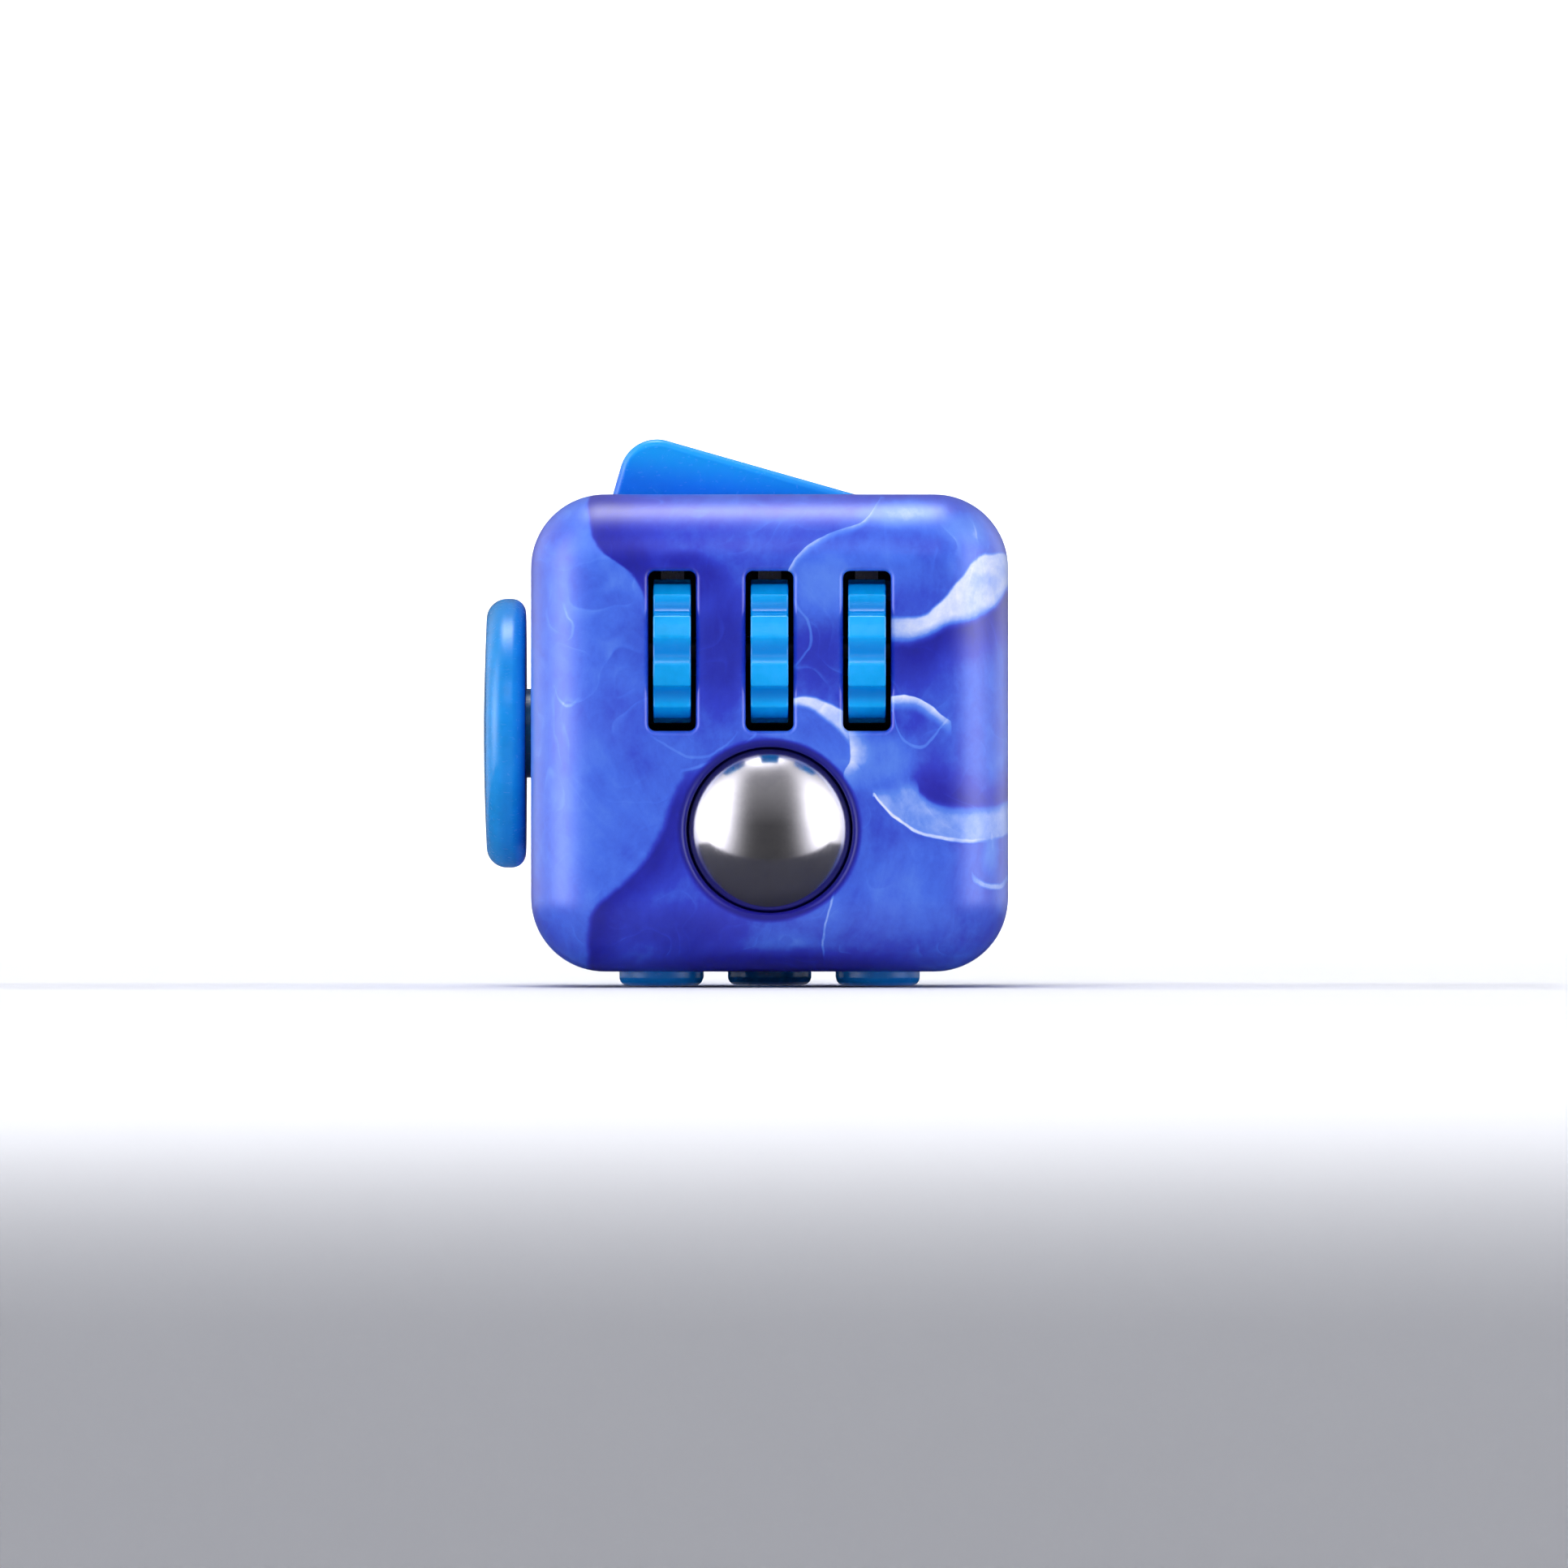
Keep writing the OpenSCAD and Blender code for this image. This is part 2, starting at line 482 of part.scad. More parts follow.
module joystick_spring_seat() {
  color(dark) translate([0, stick_y - 3.35, zc]) along_y() {
    cylinder(0.6, r = 3.2, $fn = 64);
    translate([0, 0, 0.55]) cylinder(0.85, r1 = 2.53, r2 = 0.3, $fn = 64);
  }
}
module joystick_screws() {
  color(steel) for (s = [-1, 1]) translate([s * stick_screw_x, stick_y + 1.9, zc]) rotate([90, 0, 0]) screw(1.3, 0.7, 0.58, 4.4);
}

// ---- Click buttons ----
// One button with its tip on z = 0; post is the height of its inner post
module button(px, py, post_r, post_top) {
  rb = button_d / 2;
  color(azure) translate([px * button_offset, py * button_offset, 0]) rotate_extrude($fn = 72)
    polygon(concat([[0, 0]], arc(rb - 0.6, 0.6, 0.6, -90, 0, 6),
      [[rb, floor_z + 0.05], [3.6, floor_z + 0.05], [3.6, floor_z + 0.65], [post_r, floor_z + 0.65], [post_r, post_top], [0, post_top]]));
}
module button_front_left() { button(-1, -1, 1.5, tray_z - 0.8); }
module button_front_right() { button(1, -1, 1.5, tray_z - 0.8); }
module button_centre() { button(0, 0, 1.5, tray_z - 0.8); }
module button_rear_left() { button(-1, 1, 1.1, tray_z - 0.4); }
module button_rear_right() { button(1, 1, 1.1, tray_z - 0.4); }
module click_dome(px, py) {
  color(steel) translate([px * button_offset, py * button_offset, tray_z]) mirror([0, 0, 1]) snap_dome(2.7, 0.78, 0.1);
}
module click_dome_front_left() { click_dome(-1, -1); }
module click_dome_front_right() { click_dome(1, -1); }
module click_dome_centre() { click_dome(0, 0); }
module silent_spring(px) {
  color(steel) translate([px * button_offset, button_offset, 0]) coil(1.75, 0.17, floor_z + 0.66, tray_z + 2.49, 5, 8, 16);
}
module silent_spring_left() { silent_spring(-1); }
module silent_spring_right() { silent_spring(1); }
module button_tray() {
  color(dark) difference() {
    union() {
      translate([-12.2, -10.7, tray_z]) cube([24.4, 21.9, tray_t]);
      for (s = [-1, 1]) translate([s * button_offset, button_offset, tray_z]) cylinder(3.3, r = 2.9, $fn = 48);
    }
    for (s = [-1, 1]) translate([s * button_offset, button_offset, tray_z - 1]) cylinder(3.5, r = 2.2, $fn = 48);
    translate([0, ball_y, tray_z - 1]) cylinder(3, r = 5.6, $fn = 64);
    translate([-4.6, -12, tray_z - 1]) cube([9.2, 12 - 3.35, 3]);
    for (p = tray_screw) translate([p[0], p[1], tray_z - 1]) cylinder(3, r = 0.7, $fn = 32);
  }
}
module button_tray_screws() {
  color(steel) for (p = tray_screw) translate([p[0], p[1], tray_z + tray_t + 0.7]) screw(1.3, 0.7, 0.58, 3.6);
}

front_cover();
main_body();
back_cover();
gear_left();
gear_centre();
gear_right();
gear_axle();
gear_carrier();
gear_carrier_screws();
gear_click_leaf_left();
gear_click_leaf_centre();
gear_click_leaf_right();
roll_ball();
ball_cradle();
ball_return_spring();
ball_backplate();
ball_click_dome();
ball_switch_cup();
ball_backplate_screws();
flip_rocker();
flip_pivot_pin();
flip_bracket();
flip_detent_leaf();
flip_bracket_screws();
spin_dial();
dial_bush();
dial_spring_washer();
dial_retaining_washer();
dial_screw();
joystick_cap();
joystick_stem();
gimbal_ring();
gimbal_pins();
joystick_socket();
joystick_spring();
joystick_spring_seat();
joystick_screws();
button_front_left();
button_front_right();
button_centre();
button_rear_left();
button_rear_right();
click_dome_front_left();
click_dome_front_right();
click_dome_centre();
silent_spring_left();
silent_spring_right();
button_tray();
button_tray_screws();
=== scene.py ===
import bpy
import math
import numpy as np
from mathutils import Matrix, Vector
from mathutils.geometry import delaunay_2d_cdt
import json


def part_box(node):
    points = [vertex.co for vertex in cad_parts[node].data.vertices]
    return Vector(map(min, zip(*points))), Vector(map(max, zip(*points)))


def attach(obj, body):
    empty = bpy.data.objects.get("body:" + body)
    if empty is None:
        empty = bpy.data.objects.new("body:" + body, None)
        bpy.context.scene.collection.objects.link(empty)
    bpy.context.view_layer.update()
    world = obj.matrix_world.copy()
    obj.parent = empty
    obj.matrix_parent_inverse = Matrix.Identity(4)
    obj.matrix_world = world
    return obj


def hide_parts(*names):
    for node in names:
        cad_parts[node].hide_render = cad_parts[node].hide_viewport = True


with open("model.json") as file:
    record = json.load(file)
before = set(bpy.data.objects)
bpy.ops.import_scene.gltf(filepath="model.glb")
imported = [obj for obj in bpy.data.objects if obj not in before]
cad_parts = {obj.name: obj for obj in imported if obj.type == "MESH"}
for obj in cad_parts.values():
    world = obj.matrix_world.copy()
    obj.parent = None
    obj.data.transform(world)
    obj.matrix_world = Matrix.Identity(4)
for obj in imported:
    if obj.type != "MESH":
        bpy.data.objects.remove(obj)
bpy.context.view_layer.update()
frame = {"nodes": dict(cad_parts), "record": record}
NODES = frame["nodes"]

# ------------------------------------------------------------------ sizes, in mm, from the frame
def box_mm(name):
    lo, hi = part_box(name)
    return np.array(lo) * 1000, np.array(hi) * 1000


LO, HI = box_mm("main_body")
H = (HI[0] - LO[0]) / 2                 # half of the cube
ZB, ZT = LO[2], HI[2]                   # its bottom and top faces
ZC = (ZB + ZT) / 2
SEAM = HI[1]                            # the covers start here, where the edges begin to round
C = SEAM                                # half of each flat face
R = H - C                               # edge radius
WALL = 1.8
RI = R - WALL                           # inner edge radius
E = 0.11                                # softened edge at each seam

# ------------------------------------------------------------------ a small mesh builder
class Shape:
    """Collects patches of faces with exact corner normals, in mm, and welds them into one mesh."""

    def __init__(self):
        self.v, self.n, self.f, self.count = [], [], [], 0

    def _add(self, v, n):
        v = np.asarray(v, float).reshape(-1, 3)
        n = np.asarray(n, float).reshape(-1, 3)
        self.v.append(v)
        self.n.append(n)
        start = self.count
        self.count += len(v)
        return start

    def grid(self, p, n, wrap=False):
        p = np.asarray(p, float)
        n = np.broadcast_to(np.asarray(n, float), p.shape)
        a, b = p.shape[:2]
        s = self._add(p, n)
        cols = b if wrap else b - 1
        for i in range(a - 1):
            for j in range(cols):
                k = (j + 1) % b
                self.f.append((s + i * b + j, s + i * b + k, s + (i + 1) * b + k, s + (i + 1) * b + j))

    def poly(self, p, n):
        s = self._add(p, np.broadcast_to(np.asarray(n, float), (len(p), 3)))
        self.f.append(tuple(range(s, s + len(p))))

    def tris(self, p, n, faces):
        s = self._add(p, np.broadcast_to(np.asarray(n, float), (len(p), 3)))
        for f in faces:
            self.f.append(tuple(s + i for i in f))

    def join(self, other, rot=None, move=(0, 0, 0)):
        v = np.concatenate(other.v)
        n = np.concatenate(other.n)
        if rot is not None:
            v, n = v @ np.asarray(rot).T, n @ np.asarray(rot).T
        s = self._add(v + np.asarray(move, float), n)
        for f in other.f:
            self.f.append(tuple(s + i for i in f))
        return self

    def build(self, name):
        v = np.concatenate(self.v)
        n = np.concatenate(self.n)
        keys = np.round(v / 2e-4).astype(np.int64)
        _, first, index = np.unique(keys, axis=0, return_index=True, return_inverse=True)
        index = index.reshape(-1)
        verts = v[first]
        faces, loops = [], []
        for f in self.f:
            ids, ns = [], []
            for i in f:
                k = int(index[i])
                if (not ids or k != ids[-1]) and not (ids and k == ids[0]):
                    ids.append(k)
                    ns.append(n[i])
            if len(ids) < 3 or len(set(ids)) < len(ids):
                continue
            pts = verts[ids]
            g = np.zeros(3)
            for a in range(1, len(ids) - 1):
                g += np.cross(pts[a] - pts[0], pts[a + 1] - pts[0])
            if np.linalg.norm(g) < 1e-9:
                continue
            if np.dot(g, np.sum(ns, axis=0)) < 0:
                ids.reverse()
                ns.reverse()
            faces.append(ids)
            loops.extend(ns)
        loops = np.array(loops)
        loops /= np.maximum(np.linalg.norm(loops, axis=1), 1e-9)[:, None]
        mesh = bpy.data.meshes.new(name)
        mesh.from_pydata((verts * 0.001).tolist(), [], faces)
        mesh.polygons.foreach_set("use_smooth", [True] * len(mesh.polygons))
        mesh.normals_split_custom_set(loops.tolist())
        mesh.update()
        obj = bpy.data.objects.new(name, mesh)
        bpy.context.scene.collection.objects.link(obj)
        return obj


def arc(cx, cy, r, a0, a1, n, inward=False):
    """Points of an arc with their normals, as rows (x, y, nx, ny). Angles are in degrees."""
    a = np.radians(np.linspace(a0, a1, n + 1))
    s = -1 if inward else 1
    return np.stack([cx + r * np.cos(a), cy + r * np.sin(a), s * np.cos(a), s * np.sin(a)], 1)


def line(p, q, side=1):
    """A straight stretch with its normal on one side."""
    p, q = np.array(p, float), np.array(q, float)
    d = (q - p) / np.linalg.norm(q - p)
    n = np.array([d[1], -d[0]]) * side
    return np.array([[*p, *n], [*q, *n]])


def smooth_line(pts, side=1, n=10):
    """A smooth curve through points, with normals, as rows (x, y, nx, ny)."""
    pts = np.array(pts, float)
    out = []
    m = len(pts)
    ext = np.vstack([2 * pts[0] - pts[1], pts, 2 * pts[-1] - pts[-2]])
    for i in range(m - 1):
        p0, p1, p2, p3 = ext[i], ext[i + 1], ext[i + 2], ext[i + 3]
        for t in np.linspace(0, 1, n, endpoint=False):
            out.append(0.5 * (2 * p1 + (p2 - p0) * t + (2 * p0 - 5 * p1 + 4 * p2 - p3) * t * t + (3 * p1 - p0 - 3 * p2 + p3) * t ** 3))
    out.append(pts[-1])
    out = np.array(out)
    d = np.gradient(out, axis=0)
    d /= np.linalg.norm(d, axis=1)[:, None]
    return np.hstack([out, np.stack([d[:, 1], -d[:, 0]], 1) * side])


def lathe(sections, seg=96):
    """Turns sections (rows of radius, height, normal radius, normal height) about the local Z axis."""
    s = Shape()
    t = np.linspace(0, 2 * math.pi, seg, endpoint=False)
    c, sn = np.cos(t), np.sin(t)
    for sec in sections:
        sec = np.asarray(sec, float)
        p = np.stack([np.outer(sec[:, 0], c), np.outer(sec[:, 0], sn), np.repeat(sec[:, 1:2], seg, 1)], 2)
        n = np.stack([np.outer(sec[:, 2], c), np.outer(sec[:, 2], sn), np.repeat(sec[:, 3:4], seg, 1)], 2)
        s.grid(p, n, wrap=True)
    return s


ALONG_Y = np.array([[1, 0, 0], [0, 0, 1], [0, -1, 0]])       # local Z becomes +Y
ALONG_X = np.array([[0, 0, 1], [0, 1, 0], [-1, 0, 0]])       # local Z becomes +X
ALONG_NX = np.array([[0, 0, -1], [0, 1, 0], [1, 0, 0]])      # local Z becomes -X


def rounded_rect(cx, cy, hw, hh, r, seg=8):
    """Closed loop of a rounded rectangle, rows (x, y, nx, ny), anticlockwise."""
    rows = []
    for k, (sx, sy) in enumerate(((1, 1), (-1, 1), (-1, -1), (1, -1))):
        rows.append(arc(cx + sx * (hw - r), cy + sy * (hh - r), r, 90 * k, 90 * k + 90, seg))
    return np.vstack(rows)


def circle_loop(cx, cy, r, seg=96):
    t = np.linspace(0, 2 * math.pi, seg, endpoint=False)
    return np.stack([cx + r * np.cos(t), cy + r * np.sin(t), np.cos(t), np.sin(t)], 1)


class Plane:
    """A flat face: origin, two axes in it and its outward normal. Depth goes inward."""

    def __init__(self, origin, a, b, n):
        self.o, self.a, self.b, self.n = (np.array(k, float) for k in (origin, a, b, n))

    def at(self, uv, depth=0.0):
        uv = np.asarray(uv, float)
        return self.o + uv[..., :1] * self.a + uv[..., 1:2] * self.b - np.asarray(depth)[..., None] * self.n

    def dir(self, uv, up=0.0):
        uv = np.asarray(uv, float)
        return uv[..., :1] * self.a + uv[..., 1:2] * self.b + np.asarray(up)[..., None] * self.n


def inside(pt, loop):
    x, y = pt
    ok = False
    j = len(loop) - 1
    for i in range(len(loop)):
        if (loop[i][1] > y) != (loop[j][1] > y):
            if x < (loop[j][0] - loop[i][0]) * (y - loop[i][1]) / (loop[j][1] - loop[i][1]) + loop[i][0]:
                ok = not ok
        j = i
    return ok


def flat(shape, plane, outer, holes=(), depth=0.0, up=1.0):
    """A flat region with holes. up = 1 faces out of the plane, -1 faces into the part."""
    loops = [np.asarray(outer, float)[:, :2]] + [np.asarray(h, float)[:, :2] for h in holes]
    pts, edges = [], []
    for lp in loops:
        keep = [p for i, p in enumerate(lp) if np.linalg.norm(p - lp[i - 1]) > 1e-6]
        s = len(pts)
        pts.extend(keep)
        edges.extend((s + i, s + (i + 1) % len(keep)) for i in range(len(keep)))
    out = delaunay_2d_cdt([Vector(p) for p in pts], edges, [], 0, 1e-7)
    where = [pts[o[0]] if o else np.array(out[0][i]) for i, o in enumerate(out[3])]
    faces = []
    for f in out[2]:
        c = sum(where[i] for i in f) / len(f)
        if inside(c, loops[0]) and not any(inside(c, h) for h in loops[1:]):
            faces.append(f)
    p = plane.at(np.array(where), np.full(len(where), depth))
    shape.tris(p, plane.n * up, faces)


def hole_wall(shape, plane, loop, section):
    """Sweeps a section (rows of offset into the material, depth, normal outward of the hole, normal along the plane's normal) around a hole."""
    loop = np.asarray(loop, float)
    for sec in section:
        sec = np.asarray(sec, float)
        uv = loop[None, :, :2] + sec[:, None, :1] * loop[None, :, 2:]
        p = plane.at(uv, np.repeat(sec[:, 1:2], len(loop), 1))
        n = plane.dir(sec[:, None, 2:3] * loop[None, :, 2:], np.repeat(sec[:, 3:4], len(loop), 1))
        shape.grid(p, n, wrap=True)


def lip_section(f, thick, n=6):
    """Rounded lip of radius f and then a straight wall down to thick."""
    a = np.radians(np.linspace(0, 90, n + 1))
    lip = np.stack([f - f * np.sin(a), f - f * np.cos(a), -np.sin(a), np.cos(a)], 1)
    return [lip, np.array([[0, f, -1, 0], [0, thick, -1, 0]])]


def grown(loop, d):
    out = np.array(loop, float)
    out[:, :2] += d * out[:, 2:]
    return out


# rings around the cube's Y axis: four corner arcs joined by straight sides
CORNER_SEG = 20
_rows = []
for _k, (_sx, _sz) in enumerate(((1, 1), (-1, 1), (-1, -1), (1, -1))):
    _a = np.radians(np.linspace(90 * _k, 90 * _k + 90, CORNER_SEG + 1))
    _rows.append(np.stack([np.full_like(_a, _sx * C), np.full_like(_a, _sz * C), np.cos(_a), np.sin(_a)], 1))
RING = np.vstack(_rows)


def rings(shape, section, gap=0):
    """Sweeps rows (offset from the flat's border, y, normal outward, normal along y) around the ring.
    gap leaves that many first rows open along the straight lower side."""
    for sec in section:
        sec = np.asarray(sec, float)
        x = RING[None, :, 0] + sec[:, None, 0] * RING[None, :, 2]
        z = RING[None, :, 1] + sec[:, None, 0] * RING[None, :, 3] + ZC
        y = np.repeat(sec[:, 1:2], len(RING), 1)
        nx = sec[:, None, 2] * RING[None, :, 2]
        nz = sec[:, None, 2] * RING[None, :, 3]
        ny = np.repeat(sec[:, 3:4], len(RING), 1)
        pos, nor = np.stack([x, y, z], 2), np.stack([nx, ny, nz], 2)
        if gap:
            k = 3 * (CORNER_SEG + 1)
            roll = lambda m: np.roll(m, -k, axis=1)
            shape.grid(roll(pos)[:gap + 1], roll(nor)[:gap + 1])
            shape.grid(pos[gap:], nor[gap:], wrap=True)
        else:
            shape.grid(pos, nor, wrap=True)


SQUARE = np.array([[C, C], [-C, C], [-C, -C], [C, -C]], float)


def tube(shape, plane, cx, cy, d0, d1, ro, ri):
    """A screw post that stands on the inside of a wall, with its pilot hole."""
    o, i = circle_loop(cx, cy, ro, 40), circle_loop(cx, cy, ri, 40)
    hole_wall(shape, plane, o, [np.array([[0, d0, 1, 0], [0, d1, 1, 0]])])
    hole_wall(shape, plane, i, [np.array([[0, d0 + 0.2, -1, 0], [0, d1, -1, 0]])])
    for d, up in ((d0, 1), (d1, -1)):
        p = plane.at(np.stack([o[:, :2], i[:, :2]]), np.full((2, 40), d))
        if up == 1:
            p[1] = plane.at(i[:, :2], np.full(40, d0 + 0.2))
        shape.grid(p, plane.n * up, wrap=True)


def rim_depth(b, radius):
    """How far the rounded lower border lies behind the flat face at height b."""
    e = np.clip(-C - np.asarray(b, float), 0.0, radius)
    return radius - np.sqrt(radius ** 2 - e ** 2)


def dipped(shape, plane, holes, radius, angles, base, up, centre, clear):
    """The flat face together with the upper rows of the rounded border below it, with holes through both."""
    drops = [-C - radius * math.sin(k) for k in angles]
    outer = [(C, C), (-C, C), (-C, -C)] + [(-C, b) for b in drops] + [(C, b) for b in reversed(drops)] + [(C, -C)]
    loops = [np.array(outer, float)] + [np.asarray(h, float)[:, :2] for h in holes]
    pts, edges = [], []
    for lp in loops:
        s = len(pts)
        pts.extend(lp)
        edges.extend((s + i, s + (i + 1) % len(lp)) for i in range(len(lp)))
    for b in [-C] + drops[:-1]:
        d = b - centre[1]
        half = math.sqrt(clear ** 2 - d * d) if abs(d) < clear else 0.0
        for side in (-1, 1):
            xs = np.linspace(side * C, centre[0] + side * half, 9)
            s = len(pts)
            pts.extend(np.array([x, b]) for x in xs)
            edges.extend((s + i, s + i + 1) for i in range(8))
    out = delaunay_2d_cdt([Vector(q) for q in pts], edges, [], 0, 1e-7)
    where = np.array([pts[o[0]] if o else np.array(out[0][i]) for i, o in enumerate(out[3])])
    faces = []
    for f in out[2]:
        c = sum(where[i] for i in f) / len(f)
        if inside(c, loops[0]) and not any(inside(c, h) for h in loops[1:]):
            faces.append(f)
    e = np.clip(-C - where[:, 1], 0.0, radius)
    sn = e / radius
    p = plane.at(where, base + rim_depth(where[:, 1], radius))
    n = np.outer(np.sqrt(1 - sn ** 2), plane.n) - np.outer(sn, plane.b)
    shape.tris(p, n * up, faces)


def cover(sign, holes, name, dip=None):
    """A cover: sign -1 is the front one and 1 the back one. holes are (loop, section) pairs on its flat face."""
    s = Shape()
    y = lambda v: sign * v
    plane = Plane((0, sign * H, ZC), (1, 0, 0), (0, 0, 1), (0, sign, 0))
    end = math.degrees(math.acos(E / R))
    a = np.radians(np.linspace(0, end, 27))
    skin = np.stack([R * np.sin(a), y(C + R * np.cos(a)), np.sin(a), sign * np.cos(a)], 1)
    f = np.radians(np.linspace(0, 90, 6))
    r1 = R * math.sin(math.radians(end))
    edge = np.stack([r1 - E * (1 - np.cos(f)), y(SEAM + E * (1 - np.sin(f))), np.cos(f), -sign * np.sin(f)], 1)
    re = r1 - E
    rl, lap = R - WALL / 2 - 0.03, 0.85
    b = np.radians(np.linspace(90, 0, 13))
    inner = np.stack([RI * np.sin(b), y(C + RI * np.cos(b)), -np.sin(b), -sign * np.cos(b)], 1)
    DIP = 8
    if dip:
        rings(s, [skin], DIP)
        rings(s, [inner[::-1]], DIP)
    rings(s, ([] if dip else [skin, inner]) + [edge,
              np.array([[re, y(SEAM), 0, -sign], [rl, y(SEAM), 0, -sign]]),
              np.array([[rl, y(SEAM), 1, 0], [rl, y(SEAM - lap + 0.15), 1, 0]]),
              np.array([[rl, y(SEAM - lap + 0.15), 0.7, -0.7 * sign], [rl - 0.15, y(SEAM - lap), 0.7, -0.7 * sign]]),
              np.array([[rl - 0.15, y(SEAM - lap), 0, -sign], [RI, y(SEAM - lap), 0, -sign]]),
              np.array([[RI, y(SEAM - lap), -1, 0], [RI, y(SEAM), -1, 0]])])
    outs, ins = [], []
    for loop, section in holes:
        first, last = section[0][0], section[-1][-1]
        outs.append(grown(loop, first[0]))
        ins.append(grown(loop, last[0]))
        hole_wall(s, plane, loop, section)
    if dip:
        centre, lip_loop, back_loop = dip(s, plane)
        dipped(s, plane, outs + [lip_loop], R, a[1:DIP + 1], 0.0, 1, centre, 6.6)
        dipped(s, plane, ins + [back_loop], RI, b[::-1][1:DIP + 1], WALL, -1, centre, 6.9)
    else:
        flat(s, plane, SQUARE, outs)
        flat(s, plane, SQUARE, ins, WALL, -1)
    return s, plane


def arc_section(c_off, c_dep, r, a0, a1, n, inward=False):
    """An arc in (offset, depth) space; angles from the offset axis, and depth's normal is turned to point out of the face."""
    rows = arc(c_off, c_dep, r, a0, a1, n, inward)
    rows[:, 3] *= -1
    return rows


# ------------------------------------------------------------------ front cover
glo, ghi = box_mm("gear_centre")
blo, bhi = box_mm("roll_ball")
BALL = (blo + bhi) / 2
BALL_R = (bhi[2] - blo[2]) / 2
GEAR_W = ghi[0] - glo[0]
alo, ahi = box_mm("gear_axle")
GEAR_Y, GEAR_Z = (alo[1] + ahi[1]) / 2, (alo[2] + ahi[2]) / 2
PITCH = (box_mm("gear_right")[0][0] - box_mm("gear_left")[0][0]) / 2
SLOT_W, SLOT_H = 3.3, 11.04

front_holes = []
for i in (-1, 0, 1):
    loop = rounded_rect(i * PITCH, GEAR_Z - ZC, SLOT_W / 2, SLOT_H / 2, 0.5, 8)
    front_holes.append((loop, lip_section(0.36, WALL, 8)))
throat, lip_r = 5.7, 0.53
ball_depth = BALL[1] + H
clear_r = BALL_R + 0.1
# the lip's rounding runs down until it meets the hollow around the ball
best = None
for k in np.linspace(0.05, lip_r, 400):
    ro = throat + lip_r - math.sqrt(max(lip_r ** 2 - (lip_r - k) ** 2, 0))
    if ro <= math.sqrt(clear_r ** 2 - (ball_depth - k) ** 2):
        best = k
        break
meet = best
phi = math.degrees(math.acos((lip_r - meet) / lip_r))


def ball_opening(shape, plane):
    """The rounded lip, the throat and the hollow around the ball; its lower part runs through the rounded rim."""
    n = 160
    th = np.linspace(0, 2 * math.pi, n, endpoint=False)
    cz = BALL[2] - ZC
    k = np.zeros(n)
    for _ in range(80):
        r = throat + lip_r - np.sqrt(np.maximum(lip_r ** 2 - (lip_r - k) ** 2, 0))
        k = 0.5 * (k + rim_depth(cz + r * np.sin(th), R))
    k = np.where(k < 1e-4, 0.0, np.minimum(k, meet - 0.02))
    start = np.arccos((lip_r - k) / lip_r)
    rows = [start + (math.radians(phi) - start) * t for t in np.linspace(0, 1, 10)]
    c, sn = np.cos(th), np.sin(th)

    def ring_at(r, d, nr, nd):
        uv = np.stack([r * c, cz + r * sn], 1)
        return plane.at(uv, d), plane.dir(np.stack([nr * c, nr * sn], 1), nd)

    got = [ring_at(throat + lip_r - lip_r * np.sin(f), lip_r - lip_r * np.cos(f), -np.sin(f), np.cos(f)) for f in rows]
    shape.grid(np.array([g[0] for g in got]), np.array([g[1] for g in got]), wrap=True)
    deep = np.full(n, float(WALL))
    for _ in range(60):
        r = np.sqrt(clear_r ** 2 - (ball_depth - deep) ** 2)
        deep = 0.5 * (deep + WALL + rim_depth(cz + r * np.sin(th), RI))
    deep = np.where(deep < WALL + 1e-4, WALL, deep)
    t0 = math.acos((ball_depth - meet) / clear_r)
    t1 = np.arccos((ball_depth - deep) / clear_r)
    got = []
    for q in np.linspace(0, 1, 8):
        t = t0 + (t1 - t0) * q
        r, d = clear_r * np.sin(t), ball_depth - clear_r * np.cos(t)
        if q == 0:
            r, d = np.full(n, throat + lip_r - lip_r * math.sin(math.radians(phi))), np.full(n, lip_r - lip_r * math.cos(math.radians(phi)))
        got.append(ring_at(r, d, -np.sin(t), -np.cos(t)))
    shape.grid(np.array([g[0] for g in got]), np.array([g[1] for g in got]), wrap=True)
    r0 = throat + lip_r - lip_r * np.sin(start)
    r1 = clear_r * np.sin(t1)
    return (0.0, cz), np.stack([r0 * c, cz + r0 * sn], 1), np.stack([r1 * c, cz + r1 * sn], 1)


fc, fplane = cover(-1, front_holes, "front_cover", ball_opening)
plate_front = box_mm("gear_carrier")[1][1] - 1.2
for x, z in ((-11, GEAR_Z - 3.9), (11, GEAR_Z - 3.9), (-11, GEAR_Z + 4.85), (11, GEAR_Z + 4.85)):
    tube(fc, fplane, x, z - ZC, WALL - 0.02, plate_front + H - 0.01, 1.5, 0.6)
for x in (-11.4, 11.4):
    tube(fc, fplane, x, BALL[2] - ZC, WALL - 0.02, 4.29, 1.5, 0.6)
front = fc.build("front_shell")

# ------------------------------------------------------------------ back cover
STICK_HOLE = 5.6
back_holes = [(circle_loop(0, 0, STICK_HOLE, 128), lip_section(0.5, WALL, 8))]
bc, bplane = cover(1, back_holes, "back_cover")
for x in (-12, 12):
    tube(bc, bplane, x, 0, WALL - 0.02, 3.99, 1.5, 0.6)
back = bc.build("back_shell")

